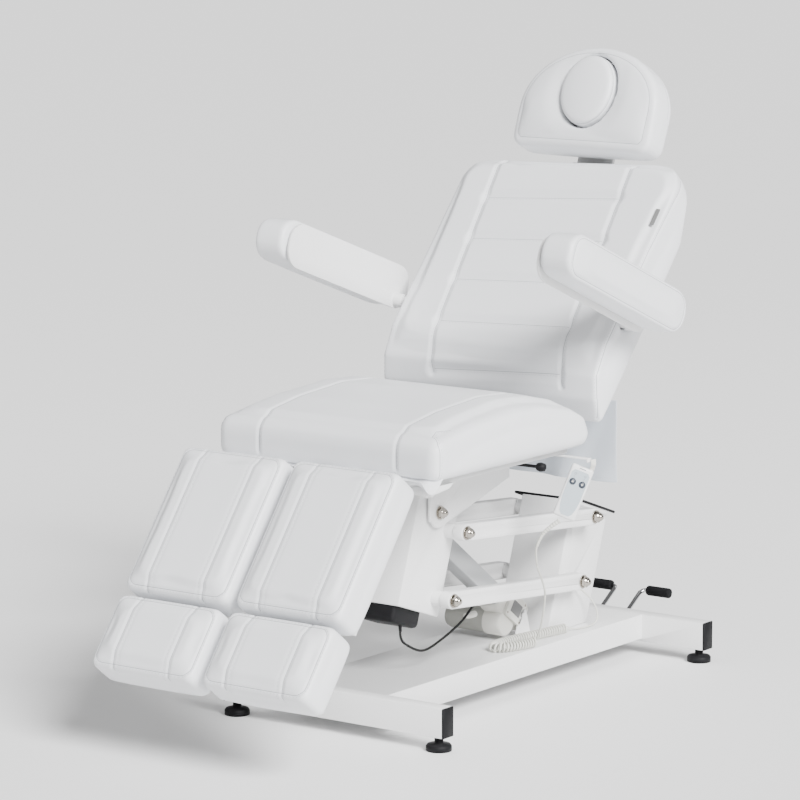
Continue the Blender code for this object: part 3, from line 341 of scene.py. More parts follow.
SLOTS = {"white_leather": LEATHER, "white_powder_coat": PAINT, "black_plastic": BLACK,
         "stainless_steel": STEEL, "chrome": CHROME, "grey_aluminium": GREY, "cream_plastic": CREAM,
         "backing_board": BOARD, "button_grey": BUTTON}


def dress_frame():
    """Every CAD node gets the surface of its slot, and machined edges catch the light."""
    slots = {part["node"]: part["material_slot"] for part in frame["record"]["subparts"]}
    for name, obj in frame["nodes"].items():
        slot = slots[name]
        obj.data.materials.clear()
        obj.data.materials.append(FOAM if name.endswith("grip") else SLOTS[slot])
        if slot in ("white_powder_coat", "cream_plastic", "backing_board"):
            soften(obj, 0.0008 if name == "handset_hook" else 0.0012)
        else:
            weld = obj.modifiers.new("weld", "WELD")
            weld.merge_threshold = 2e-5
            obj.data.shade_smooth()
            obj.data.set_sharp_from_angle(angle=math.radians(38))


# ---------------------------------------------------------------- upholstery
PENDING = []


def skin(name, node, body, matrix, shrink, hold, rounding, cap, voxel=0.006, crown=None,
         reach=((0, 0, 0), (0, 0, 0))):
    """A closed skin a little inside the CAD solid that it stands for, ready to be blown up.

    hold(points) marks where the skin is fixed to its board, and crown(points) moves points before that.
    cap limits the swelling, and reach moves the low and high corners of the box that the skin fills."""
    mesh = frame["nodes"][node].data.copy()
    mesh.transform(matrix.inverted())
    obj = add_object(name, mesh, LEATHER, ROW)
    points = read(mesh)
    centre = (points.min(0) + points.max(0)) / 2
    half = (points.max(0) - points.min(0)) / 2
    write(mesh, centre + (points - centre) * (half - np.array(shrink)) / half)
    weld = obj.modifiers.new("weld", "WELD")
    weld.merge_threshold = 2e-5
    remesh = obj.modifiers.new("remesh", "REMESH")
    remesh.mode = "VOXEL"
    remesh.voxel_size = voxel
    soft = obj.modifiers.new("round", "SMOOTH")
    soft.factor = 0.6
    soft.iterations = rounding
    baked(obj)
    obj.data.materials.clear()
    obj.data.materials.append(LEATHER)
    points = read(obj.data)
    if crown is not None:
        points = crown(points)
        write(obj.data, points)
    group = obj.vertex_groups.new(name="held")
    group.add([int(i) for i in np.nonzero(hold(points))[0]], 1.0, "REPLACE")
    cloth = obj.modifiers.new("cloth", "CLOTH")
    rules = cloth.settings
    rules.quality = 3
    rules.mass = 0.3
    rules.use_pressure = True
    rules.uniform_pressure_force = PRESSURE
    rules.tension_stiffness = rules.compression_stiffness = 12
    rules.bending_stiffness = 0.6
    rules.air_damping = 1.5
    rules.effector_weights.gravity = 0
    rules.vertex_group_mass = "held"
    cloth.collision_settings.use_collision = False
    cloth.point_cache.frame_start, cloth.point_cache.frame_end = 1, CLOTH_FRAMES
    PENDING.append((obj, node, body, matrix, points, cap, reach))


def evened(mesh, field, rounds):
    """A value per vertex, averaged with its neighbours' several times."""
    ends = np.empty(len(mesh.edges) * 2, np.int64)
    mesh.edges.foreach_get("vertices", ends)
    a, b = ends.reshape(-1, 2).T
    count = len(mesh.vertices)
    share = np.bincount(a, minlength=count) + np.bincount(b, minlength=count)
    for _ in range(rounds):
        total = np.empty_like(field)
        for k in range(field.shape[1]):
            total[:, k] = (np.bincount(a, field[b, k], count) + np.bincount(b, field[a, k], count)) / share
        field = (field + total) / 2
    return field


def blow_up():
    """Runs the pressure on all skins together, limits how far each may move, and takes the shape over."""
    scene = bpy.context.scene
    scene.frame_start, scene.frame_end = 1, CLOTH_FRAMES
    for number in range(1, CLOTH_FRAMES + 1):
        scene.frame_set(number)
    graph = bpy.context.evaluated_depsgraph_get()
    for obj, node, body, matrix, before, cap, reach in PENDING:
        after = read(obj.evaluated_get(graph).to_mesh()).copy()
        obj.modifiers.clear()
        normals = np.empty(len(obj.data.vertices) * 3)
        obj.data.vertices.foreach_get("normal", normals)
        normals = evened(obj.data, normals.reshape(-1, 3), 3)
        normals /= np.linalg.norm(normals, axis=1, keepdims=True)
        swell = evened(obj.data, np.sum((after - before) * normals, axis=1, keepdims=True), 22)
        write(obj.data, before + normals * np.clip(swell, 0, cap))
        for group in list(obj.vertex_groups):
            obj.vertex_groups.remove(group)
        finer = obj.modifiers.new("finer", "SUBSURF")
        finer.levels = finer.render_levels = 1
        baked(obj)
        low, high = local_box(node, matrix)
        fill_box(obj, low + np.array(reach[0]), high + np.array(reach[1]))
        obj.data.materials.clear()
        obj.data.materials.append(LEATHER)
        obj.data.shade_smooth()
    bpy.context.scene.frame_set(1)


def fill_box(obj, low, high, over=0.0015):
    """Brings the skin's size to that of the solid that it stands for, plus a little fullness."""
    points = read(obj.data)
    small, large = points.min(0), points.max(0)
    share = (points - small) / (large - small)
    write(obj.data, low - over + share * (high - low + 2 * over))


def surface(obj):
    graph = bpy.context.evaluated_depsgraph_get()
    return BVHTree.FromObject(obj, graph)


def trace(tree, path, step=0.003, closed=False):
    """Points and normals where rays meet the skin; path holds (point, direction) pairs in the skin's axes."""
    pairs = [(Vector(p), Vector(d).normalized()) for p, d in path]
    if closed:
        pairs.append(pairs[0])
    hits = []
    for (p, d), (q, e) in zip(pairs, pairs[1:]):
        count = max(1, int((q - p).length / step))
        for i in range(count + (q is pairs[-1][0])):
            t = i / count
            towards = d.lerp(e, t).normalized()
            point, normal, _, _ = tree.ray_cast(p.lerp(q, t) - towards * 0.12, towards, 0.3)
            if point is not None:
                hits.append((point, normal))
    return hits


def press(obj, lines):
    """Sinks the skin along traced lines: each is (hits, depth, half width)."""
    mesh = obj.data
    points = read(mesh)
    normals = np.empty(len(mesh.vertices) * 3)
    mesh.vertices.foreach_get("normal", normals)
    normals = normals.reshape(-1, 3)
    for hits, depth, width in lines:
        if not hits:
            continue
        tree = KDTree(len(hits))
        for i, (point, _) in enumerate(hits):
            tree.insert(point, i)
        tree.balance()
        low = np.min([p for p, _ in hits], axis=0) - width
        high = np.max([p for p, _ in hits], axis=0) + width
        near = np.nonzero(np.all((points > low) & (points < high), axis=1))[0]
        for i in near:
            _, _, distance = tree.find(points[i])
            if distance < width:
                fall = 1 - distance / width
                points[i] -= normals[i] * depth * fall * fall * (3 - 2 * fall)
    write(mesh, points)


STITCH = [(-0.5, 0.0), (-0.42, 0.8), (0.0, 1.0), (0.42, 0.8), (0.5, 0.0)]


def stitches(bm, hits, pitch=0.0062, length=0.0042, radius=0.00055):
    """Short thread bars along a traced line."""
    travelled, last = 0.0, None
    for (p, n), (q, _) in zip(hits, hits[1:]):
        if (q - p).length > 0.02:
            continue
        travelled += (q - p).length
        if last is not None and travelled - last < pitch:
            continue
        last = travelled
        along = (q - p).normalized()
        across = along.cross(n).normalized()
        centre = p + n * radius * 0.35
        rings = []
        for where, wide in STITCH:
            middle = centre + along * length * where
            if wide == 0:
                rings.append([bm.verts.new(middle)])
            else:
                rings.append([bm.verts.new(middle + (across * math.cos(a) + n * math.sin(a)) * radius * wide)
                              for a in (math.pi * k / 3 for k in range(6))])
        for low, high in zip(rings, rings[1:]):
            for s in range(6):
                t = (s + 1) % 6
                if len(low) == 1:
                    bm.faces.new((low[0], high[t], high[s]))
                elif len(high) == 1:
                    bm.faces.new((low[s], low[t], high[0]))
                else:
                    bm.faces.new((low[s], low[t], high[t], high[s]))


def seam_shade_strip(bm, hits, radius=0.0007):
    """A thin dark tube lying in a pressed seam: painted shade along the seam's groove."""
    run = []
    for (point, normal) in hits + [(None, None)]:
        if point is not None and (not run or (point - run[-1]).length < 0.02):
            run.append(point - normal * radius * 0.35)
            continue
        if len(run) > 2:
            tube_rings(bm, run, radius, 6)
        run = [point] if point is not None else []


def sew(obj, body, matrix, seams):
    """Presses and sews seams, and lays a dark tube of painted seam shade in each whose line radius is above
    zero. Each is (path, closed, depth, half width, [stitch row shifts], radius of the painted shade line).
    """
    tree = surface(obj)
    traced = [(trace(tree, path, closed=closed), depth, width, rows, line)
              for path, closed, depth, width, rows, line in seams]
    press(obj, [(hits, depth, width) for hits, depth, width, _, _ in traced])
    tree = surface(obj)
    thread, dark = bmesh.new(), bmesh.new()
    for hits, _, _, rows, line in traced:
        settled = []
        for point, normal in hits:
            found, facing, _, _ = tree.ray_cast(point + normal * 0.02, -normal, 0.06)
            if found is not None:
                settled.append((found, facing))
        for shift in rows:
            on_skin = []
            for i, (p, n) in enumerate(settled):
                q = settled[min(i + 1, len(settled) - 1)][0]
                o = settled[max(i - 1, 0)][0]
                if (q - o).length < 1e-6 or (q - o).length > 0.03:
                    continue
                across = (q - o).normalized().cross(n).normalized()
                found, facing, _, _ = tree.ray_cast(p + across * shift + n * 0.01, -n, 0.04)
                if found is not None:
                    on_skin.append((found, facing))
            stitches(thread, on_skin)
        if line:
            seam_shade_strip(dark, settled, line)
    # The "seams" pieces hold the dark tubes of painted seam shade.
    for bm, kind, look in ((thread, "stitching", THREAD), (dark, "seams", SEAM_SHADE)):
        if len(bm.faces):
            piece = from_bmesh(f"{obj.name}_{kind}", bm, look, matrix)
            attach(piece, body)
        else:
            bm.free()


def fit(obj, node, body, matrix):
    """Puts a finished skin in place of its CAD solid."""
    obj.matrix_world = matrix
    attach(obj, body)
    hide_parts(node)


def local_box(node, matrix):
    """A CAD solid's low and high corners in the matrix's axes."""
    points = read(frame["nodes"][node].data)
    turn = np.array(matrix.inverted())
    points = points @ turn[:3, :3].T + turn[:3, 3]
    return points.min(0), points.max(0)


def seat_skin():
    low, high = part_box("seat_cushion")

    def crown(points):
        side = np.clip((np.abs(points[:, 0]) - 0.17) / 0.14, 0, 1)
        above = np.clip((points[:, 2] - 0.66) / 0.08, 0, 1)
        points[:, 2] -= 0.014 * side ** 3 * above
        return points

    skin("seat_upholstery", "seat_cushion", "seat", ROW, (0.005, 0.005, 0.004), rounding=3, cap=0.010,
               hold=lambda p: p[:, 2] < low.z + 0.012, crown=crown, reach=((0, 0, 0), (0, 0.010, 0)))

    def seams():
        top, front, back = high.z, low.y, high.y
        found = []
        for x in (-0.185, 0.195):
            found.append(([((x, front, low.z + 0.02), (0, 1, 0)), ((x, front, top - 0.05), (0, 1, -0.2)),
                           ((x, front + 0.01, top - 0.005), (0, 1, -1)), ((x, front + 0.06, top), (0, 0, -1)),
                           ((x, back - 0.03, top), (0, 0, -1))], False, 0.0030, 0.009, [0.004], 0.0009))
        for side in SIDES:
            x = side * high.x
            corner = ((0.012, low.z + 0.010), (0.012, top - 0.055), (0.020, top - 0.038), (0.040, top - 0.029))
            path = [((x, front + y, z), (-side, 0.25, -0.15)) for y, z in corner]
            path.append(((x, front + 0.085, top - 0.026), (-side, 0.1, -0.3)))
            found.append((path, False, 0.0009, 0.006, [0.005], 0.0007))
        return found

    return seams


def back_skin():
    low, high = local_box("backrest_cushion", BACK)

    def crown(points):
        left = np.clip((points[:, 0] + 0.15) / 0.35, 0, 1)
        points[:, 1] += 0.014 * left * np.clip((points[:, 1] - 0.45) / 0.19, 0, 1)
        return points

    skin("backrest_upholstery", "backrest_cushion", "backrest", BACK, (0.005, 0.005, 0.005), rounding=3,
               cap=0.010, hold=lambda p: p[:, 2] < 0.0, crown=crown, reach=((0, 0, 0), (0, 0.016, 0)))

    def edge(side, y):
        """Where the middle panel ends at this distance up the back."""
        t = (y - 0.14) / 0.50
        return -0.170 - 0.039 * t if side < 0 else 0.199 - 0.035 * t

    def seams():
        face = high[2]
        found = []
        for y in (0.049, 0.161, 0.281, 0.400, 0.520):
            inset = 0.006
            rise = 0.010 + 0.022 * y
            found.append(([((edge(-1, y) + inset, y - 0.003, face), (0, 0, -1)),
                           ((edge(1, y) - inset, y + rise, face), (0, 0, -1))],
                          False, 0.0066, 0.026, [0.0045], 0.0006))
        for side in (-1, 1):
            found.append(([((edge(side, low[1]), low[1] + 0.004, face - 0.03), (0, 1, -0.5)),
                           ((edge(side, 0.05), low[1] + 0.05, face), (0, 0.1, -1)),
                           ((edge(side, 0.60), 0.60, face), (0, 0, -1)),
                           ((edge(side, 0.645), high[1], face - 0.01), (0, -0.6, -1))],
                          False, 0.0042, 0.012, [side * 0.005], 0.0008))
        for side in SIDES:
            x = side * high[0]
            d = (-side, 0, -0.35)
            outline = ((0.000, 0.010), (0.030, 0.048), (0.066, 0.083), (0.145, 0.099), (0.404, 0.098),
                       (0.560, 0.088), (0.635, 0.075))
            found.append(([((x, y, z), d) for y, z in outline], False, 0.002, 0.008, [side * -0.005], 0.0007))
        return found

    return seams


def head_skin():
    low, high = local_box("headrest_cushion", HEAD)

    def crown(points):
        reach = np.hypot(points[:, 0] / 0.195, (points[:, 1] - 0.15) / 0.125)
        above = np.clip((points[:, 2] - 0.05) / 0.04, 0, 1)
        points[:, 2] += above * 0.009 * (1 - np.clip(reach, 0, 1.15) ** 2)
        return points

    skin("headrest_upholstery", "headrest_cushion", "headrest", HEAD, (0.005, 0.005, 0.004), voxel=0.005,
               rounding=4, cap=0.009, hold=lambda p: p[:, 2] < low[2] + 0.012,
               crown=crown, reach=((-0.003, -0.009, 0), (0.003, 0.001, 0.005)))

    def seams():
        outline = [(-0.172, 0.046), (0.172, 0.046), (0.181, 0.056), (0.181, 0.13)]
        outline += [(0.181 * math.cos(math.radians(a)), 0.132 + 0.140 * math.sin(math.radians(a)))
                    for a in range(10, 180, 10)]
        outline += [(-0.181, 0.13), (-0.181, 0.056)]
        loop = []
        for x, y in outline:
            inward = Vector((-x, 0.13 - y, 0)).normalized() * 0.45
            loop.append(((x, y, high[2]), (inward.x, inward.y, -1)))
        band = []
        for x, y in outline[3:-1]:
            inward = Vector((-x, 0.13 - y, 0)).normalized()
            band.append(((x * 1.07, 0.13 + (y - 0.13) * 1.07, low[2] + 0.022), (inward.x, inward.y, 0)))
        return [(loop, True, 0.0009, 0.006, [], 0.0006), (band, False, 0.0008, 0.006, [], 0.0005)]

    return seams


def plug_skin():
    low, high = local_box("face_plug", HEAD)
    middle = (low + high) / 2
    half = (high - low) / 2

    def crown(points):
        reach = np.hypot((points[:, 0] - middle[0]) / half[0], (points[:, 1] - middle[1]) / half[1])
        above = np.clip((points[:, 2] - middle[2]) / half[2], 0, 1)
        points[:, 2] += above * 0.006 * (1 - np.clip(reach, 0, 1) ** 2)
        return points

    skin("face_plug_upholstery", "face_plug", "face_plug", HEAD, (0.0035, 0.0035, 0.005), voxel=0.004,
               rounding=7, cap=0.004, hold=lambda p: p[:, 2] < high[2] - 0.045, crown=crown,
               reach=((0.001, 0.004, 0), (-0.006, -0.002, 0.004)))

    def seams():
        loop = []
        for a in range(0, 360, 10):
            u, v = math.cos(math.radians(a)), math.sin(math.radians(a))
            loop.append(((middle[0] + half[0] * u, middle[1] + half[1] * v, high[2] - 0.012), (-u, -v, -0.3)))
        return [(loop, True, 0.0015, 0.006, [], 0.0006)]

    return seams


def arm_skin(side):
    node = f"armrest_pad_{SIDES[side]}"
    low, high = local_box(node, ARM[side])
    skin(f"armrest_upholstery_{SIDES[side]}", node, f"armrest_{SIDES[side]}", ARM[side],
               (0.004, 0.004, 0.004), voxel=0.005, rounding=5, cap=0.008,
               hold=lambda p: p[:, 0] * side < ARM_PAD_HELD)

    def seams():
        outer = high[0] if side > 0 else low[0]
        edge = round_rect(low[1] + 0.014, low[2] + 0.012, high[1] - 0.014, high[2] - 0.013, 0.034, 5)
        loop = [((outer, y, z), (-side, 0, 0)) for y, z in edge]
        return [(loop, True, 0.0022, 0.008, [side * 0.005], 0.0007)]

    return seams


def pad_skin(side, kind, body):
    node = f"{kind}_pad_{SIDES[side]}"
    low, high = local_box(node, LEG[side])
    skin(f"{kind}_upholstery_{SIDES[side]}", node, body, LEG[side], (0.004, 0.004, 0.004), voxel=0.006,
               rounding=3, cap=0.009, hold=lambda p: p[:, 2] < low[2] + 0.012)

    def seams():
        face, found = high[2], []
        for x, turn in ((0.078, -1), (0.232, 1)):
            at = side * x
            for shift, depth, rows, line in ((0.0, 0.0026, [], 0.0008), (0.0125, 0.0008, [0.0], 0.0)):
                u = at + side * turn * -shift
                path = [((u, low[1] + 0.004, face - 0.03), (0, 1, -0.5)),
                        ((u, low[1] + 0.035, face), (0, 0.1, -1)),
                        ((u, high[1] - 0.035, face), (0, -0.1, -1)),
                        ((u, high[1] - 0.004, face - 0.03), (0, -1, -0.5))]
                found.append((path, False, depth, 0.008, rows, line))
        loop = []
        x0, x1 = low[0] + 0.010, high[0] - 0.010
        y0, y1 = low[1] + 0.010, high[1] - 0.010
        centre = Vector(((x0 + x1) / 2, (y0 + y1) / 2, 0))
        for u, v in round_rect(x0, y0, x1, y1, 0.026, 5):
            away = Vector((u - centre.x, v - centre.y, 0))
            lean = Vector((math.copysign(0.5, away.x) if abs(away.x) > (x1 - x0) / 2 - 0.012 else 0,
                           math.copysign(0.5, away.y) if abs(away.y) > (y1 - y0) / 2 - 0.012 else 0, 1))
            loop.append(((u, v, face - 0.006), tuple(-lean)))
        found.append((loop, True, 0.0016, 0.006, [0.0035], 0.0007))
        return found

    return seams


def upholster():
    """Makes all skins, blows them up together, and then sews and fits each."""
    pieces = [seat_skin(), back_skin(), head_skin(), plug_skin()]
    for side, word in SIDES.items():
        pieces += [arm_skin(side), pad_skin(side, "calf", f"leg_{word}"),
                   pad_skin(side, "foot", f"foot_pad_{word}")]
    blow_up()
    for (obj, node, body, matrix, _, _, _), seams in zip(PENDING, pieces):
        sew(obj, body, matrix, seams())
        fit(obj, node, body, matrix)


# ---------------------------------------------------------------- cords
def joined_cord(name, points, cuts, radius, look):
    """One cord cut into runs, each running from one body to the next; cuts holds (last point, body, next
    body). A run whose two bodies are the same rides on that body; the others are left in place, unattached.
    """
    first = 0
    path = smooth_path(points, 0.007)
    for number, (last, body, onward) in enumerate(cuts):
        stop = min(range(len(path)), key=lambda i: (path[i] - Vector(points[last])).length)
        run = path[first:stop + 1]
        piece = tube(f"{name}_{number + 1}", run, radius, look, straight=True)
        if body == onward:
            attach(piece, body)
        else:
            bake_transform(piece)
        first = stop


HANDSET_CORD = ((0.300, 0.0870, 0.4470), (0.284, 0.0760, 0.4330), (0.266, 0.0690, 0.4140),
                (0.250, 0.0690, 0.3837), (0.235, 0.0936, 0.3356), (0.215, 0.1440, 0.2896),
                (0.195, 0.1863, 0.2444), (0.163, 0.2222, 0.1743), (0.128, 0.2532, 0.1210),
                (0.122, 0.2500, 0.1125))
COIL = ((0.122, 0.250, 0.1118), (0.114, 0.205, 0.1112), (0.100, 0.166, 0.1112), (0.081, 0.150, 0.1112),
        (0.066, 0.172, 0.1112), (0.070, 0.250, 0.1112), (0.084, 0.340, 0.1112), (0.096, 0.420, 0.1112))
COIL_TAIL = ((0.096, 0.420, 0.1112), (0.103, 0.455, 0.1045), (0.111, 0.495, 0.1040), (0.116, 0.525, 0.1130),
             (0.113, 0.530, 0.1400), (0.103, 0.516, 0.1700), (0.088, 0.492, 0.1950), (0.0765, 0.478, 0.2050))
MOTOR_CABLE = ((0.045, -0.1786, 0.222), (0.045, -0.1752, 0.1878), (0.045, -0.1516, 0.1670),
               (0.045, -0.0893, 0.1430), (0.043, -0.0106, 0.1560), (0.040, 0.0692, 0.1820),
               (0.034, 0.1176, 0.2040), (0.020, 0.1600, 0.2100))


def helix(centre, radius, pitch, per_turn=14):
    """A coil round a centre line."""
    path = smooth_path(centre, pitch / per_turn)
    length, made, last = 0.0, [], path[0]
    for point, across, up in frames_along(path):
        length += (point - last).length
        last = point
        a = 2 * math.pi * length / pitch
        made.append(point + (across * math.cos(a) + up * math.sin(a)) * radius)
    return made


def cords():
    """The handset's cord with its coil on the spine, and the motor cable."""
    handovers = ((2, "handset", "seat"), (4, "seat", "carriage"), (6, "carriage", "lower_arms"),
                (9, "lower_arms", "base"))
    joined_cord("handset_cord", HANDSET_CORD, handovers, 0.0024, CORD)
    ribs = tube("handset_strain_relief", HANDSET_CORD[:4], 0.0056, CORD, sides=14, step=0.0012,
                taper=lambda t: (1 - 0.45 * t) * (1 + 0.14 * math.sin(t * 2 * math.pi * 13)))
    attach(ribs, "handset")
    coil = tube("coiled_cord", helix(COIL, 0.0098, 0.0082), 0.0025, CORD, sides=7, straight=True)
    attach(coil, "base")
    for name, start, end in (("coil_end_near", COIL[0], COIL[1]), ("coil_end_far", COIL[-1], COIL_TAIL[1])):
        start, end = Vector(start), Vector(end)
        sleeve = tube(name, [start, start.lerp(end, 0.25), start.lerp(end, 0.5)], 0.0062, CORD, sides=14,
                      step=0.002, taper=lambda t: 1 - 0.45 * t)
        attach(sleeve, "base")
    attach(tube("handset_cord_tail", COIL_TAIL, 0.0021, CORD), "base")
    joined_cord("motor_cable", MOTOR_CABLE, ((2, "carriage", "lower_arms"), (4, "lower_arms", "base"),
                                             (7, "base", "actuator")), 0.0030, CABLE)
    neck = ((0.045, -0.1792, 0.226), (0.045, -0.1783, 0.214), (0.045, -0.1772, 0.203))
    gland = tube("motor_cable_gland", neck, 0.0050, BLACK, taper=lambda t: 1 - 0.3 * t)
    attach(gland, "carriage")


# ---------------------------------------------------------------- handset
def ring(name, centre, radius, thick, look, matrix, body, sides=28):
    """A thin round hoop facing the matrix's Z."""
    bm = bmesh.new()
    rings = []
    for x, y in disc(centre[0], centre[1], radius, sides):
        point = Vector((x, y, centre[2]))
        out = (point - Vector(centre)).normalized()
        rings.append([bm.verts.new(point + (out * math.cos(a) + Vector((0, 0, 1)) * math.sin(a)) * thick)
                      for a in (math.pi * k / 4 for k in range(8))])
    for i in range(sides):
        low, high = rings[i], rings[(i + 1) % sides]
        for s in range(8):
            bm.faces.new((low[s], low[(s + 1) % 8], high[(s + 1) % 8], high[s]))
    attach(from_bmesh(name, bm, look, matrix), body)


def disc(cx, cy, radius, sides):
    return [(cx + radius * math.cos(2 * math.pi * i / sides), cy + radius * math.sin(2 * math.pi * i / sides))
            for i in range(sides)]


def handset():
    """The handset's face plate with two button holes, generic marks, and its hanging strap."""
    outline = [(-0.0215, -0.018), (-0.0155, -0.0115), (0.0155, -0.0115), (0.0215, -0.018), (0.0215, -0.078),
               (0.0190, -0.098), (0.0150, -0.112), (0.0085, -0.1185), (-0.0085, -0.1185), (-0.0150, -0.112),
               (-0.0190, -0.098), (-0.0215, -0.078)]
    face = plate("handset_face", outline, -0.0004, 0.0006, FACE)
    for x in (-BUTTON_X, BUTTON_X):
        hole = plate("button_hole", disc(x, BUTTON_Y, 0.0069, 28), -0.01, 0.01, FACE)
        cutter = face.modifiers.new("hole", "BOOLEAN")
        cutter.solver = "EXACT"
        cutter.object = hole
    baked(face)
    for hole in [o for o in bpy.data.objects if o.name.startswith("button_hole")]:
        bpy.data.objects.remove(hole)
    face.matrix_world = HANDSET
    soften(face, 0.0003)
    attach(face, "handset")
    for side, word in ((-1, "up"), (1, "down")):
        x = side * BUTTON_X
        ring(f"button_rim_{word}", (x, BUTTON_Y, 0.0006), 0.0073, 0.0006, BUTTON, HANDSET, "handset")
        tip = 0.0030 if word == "up" else -0.0030
        tail = BUTTON_Y - tip * 0.55
        arrow = [(x - 0.0030, tail), (x + 0.0030, tail), (x, BUTTON_Y + tip)]
        if word == "down":
            arrow.reverse()
        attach(plate(f"button_arrow_{word}", arrow, 0.0012, 0.0018, CORD, HANDSET), f"button_{word}")
        for number, y in enumerate((-0.0300, -0.0265)):
            name = f"handset_dot_{word}_{number + 1}"
            dot = plate(name, disc(x, y, 0.0007, 12), 0.0005, 0.0008, PRINT, HANDSET)
            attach(dot, "handset")
        ring(f"handset_icon_{word}", (x, -0.0205, 0.0007), 0.0022, 0.0003, PRINT, HANDSET, "handset", 24)
    outline = round_rect(-0.0075, -0.0068, 0.0075, -0.0052, 0.0007)
    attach(plate("handset_slot", outline, -0.0005, 0.0003, PRINT, HANDSET), "handset")
    strap = [(0.3429, 0.1530, 0.5570), (0.3480, 0.1500, 0.5660), (0.3530, 0.1460, 0.5740),
             (0.3532, 0.1448, 0.5860)]
    bm = bmesh.new()
    section = ((-1, -0.6), (-0.9, -1), (0.9, -1), (1, -0.6), (1, 0.6), (0.9, 1), (-0.9, 1), (-1, 0.6))
    rows = []
    for point, across, up in frames_along(smooth_path(strap, 0.002)):
        wide, deep = across * 0.0062, up * 0.0011
        rows.append([bm.verts.new(point + wide * a + deep * b) for a, b in section])
    for low, high in zip(rows, rows[1:]):
        for s in range(8):
            bm.faces.new((low[s], low[(s + 1) % 8], high[(s + 1) % 8], high[s]))
    bm.faces.new(rows[0])
    bm.faces.new(list(reversed(rows[-1])))
    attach(from_bmesh("handset_hanger", bm, CREAM), "handset")


# ---------------------------------------------------------------- trims, cloth parts and motor details
def cloth_sheet(name, columns, rows, place, thick, look):
    """A sheet of cloth with thickness; place(u, v) gives the point for shares u across and v down."""
    bm = bmesh.new()
    grid = [[bm.verts.new(place(i / columns, j / rows)) for i in range(columns + 1)] for j in range(rows + 1)]
    for low, high in zip(grid, grid[1:]):
        for i in range(columns):
            bm.faces.new((low[i], low[i + 1], high[i + 1], high[i]))
    obj = from_bmesh(name, bm, look)
    solid = obj.modifiers.new("thick", "SOLIDIFY")
    solid.thickness = thick
    solid.offset = 0
    rounded = obj.modifiers.new("round", "BEVEL")
    rounded.width = thick * 0.4
    rounded.segments = 2
    rounded.limit_method = "ANGLE"
    baked(obj)
    obj.data.shade_smooth()
    return obj


def apron():
    """The cloth that hangs behind the seat, from the backrest down; its grey-blue colour is painted shade."""
    low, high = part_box("rear_apron")
    y = (low.y + high.y) / 2

    def place(u, v):
        x = low.x + (high.x - low.x) * u
        top = APRON_TOP_MIDDLE if abs(x) < APRON_NOTCH else APRON_TOP
        z = top + (low.z - top) * v
        folds = 0.0080 * v * math.sin(x * 21 + 0.8) + 0.004 * v * math.sin(x * 53 + 3 * v)
        return (x, y + (folds + 0.0012 * noise.noise((x * 9, 0, z * 9))), z)

    sheet = cloth_sheet("rear_apron_cloth", 120, 34, place, 0.0018, CLOTH)
    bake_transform(sheet)
    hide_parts("rear_apron")
    hem = bmesh.new()
    down = (APRON_TOP - low.z - 0.010) / (APRON_TOP - low.z)
    path = [(Vector(place(u / 150, down)) + Vector((0, -0.0012, 0)), Vector((0, -1, 0)))
            for u in range(2, 149)]
    stitches(hem, path)
    piece = from_bmesh("rear_apron_hem", hem, THREAD)
    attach(piece, "seat")


def hinge_flaps():
    """Soft covers between the seat's front edge and the calf pads."""
    profile = [(-0.3640, 0.6160), (-0.3760, 0.6110), (-0.3900, 0.6040), (-0.4060, 0.5990), (-0.4230, 0.6000),
               (-0.4380, 0.6060), (-0.4500, 0.6150)]
    line = smooth_path([(0, y, z) for y, z in profile], 0.004)
    for side, word in SIDES.items():
        def place(u, v, side=side):
            point = line[min(int(v * (len(line) - 1)), len(line) - 1)]
            x = side * (0.012 + 0.288 * u)
            fold = max(0.0, (u - 0.90) / 0.10)
            dip = (0.016 * fold ** 2 + 0.0025 * math.sin(u * 26)) * math.sin(math.pi * v)
            return (x, point.y, point.z - dip)

        flap = cloth_sheet(f"hinge_flap_{word}", 60, 20, place, 0.0016, LEATHER)
        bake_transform(flap)


def trims():
    """The black edge strip on the column and the blank tag on the backrest."""
    (front_y, front_z), (rear_y, rear_z) = COLUMN_TOP
    low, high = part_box("column")
    x = high.x - 0.002
    corners = [(x, rear_y - 0.004, rear_z + 0.0022), (x, front_y + 0.003, front_z + 0.0005),
               (-x, front_y + 0.003, front_z + 0.0005), (-x, rear_y - 0.004, rear_z + 0.0022)]
    edge = tube("column_edge_trim", corners, 0.0034, BLACK, sides=12, straight=True)
    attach(edge, "base")
    tag_at = BACK @ Matrix.Translation((0.291, 0.496, 0.1092)) @ Matrix.Rotation(math.radians(12), 4, "Y")
    outline = round_rect(-0.0052, -0.023, 0.0052, 0.023, 0.001)
    tag = plate("backrest_tag", outline, -0.0004, 0.0006, LABEL, tag_at, 0.0002)
    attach(tag, "backrest")


def nuts():
    """A wide washer and a hexagon under each shaft's dome."""
    for node in (n for n in sorted(frame["nodes"]) if n.startswith("shaft_")):
        low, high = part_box(node)
        middle = Vector((0, (low.y + high.y) / 2, (low.z + high.z) / 2))
        for side, word in SIDES.items():
            face = high.x - 0.0215
            at = Matrix.Translation(middle) @ Matrix.Rotation(math.radians(90 * side), 4, "Y")
            for kind, outline, a, b in (("washer", disc(0, 0, 0.0162, 32), 0.0003, 0.0028),
                                        ("nut", disc(0, 0, 0.0136, 6), 0.0030, 0.0112)):
                piece = plate(f"{node}_{kind}_{word}", outline, face + a, face + b, STEEL, at, 0.0007)
                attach(piece, frame["nodes"][node]["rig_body"])


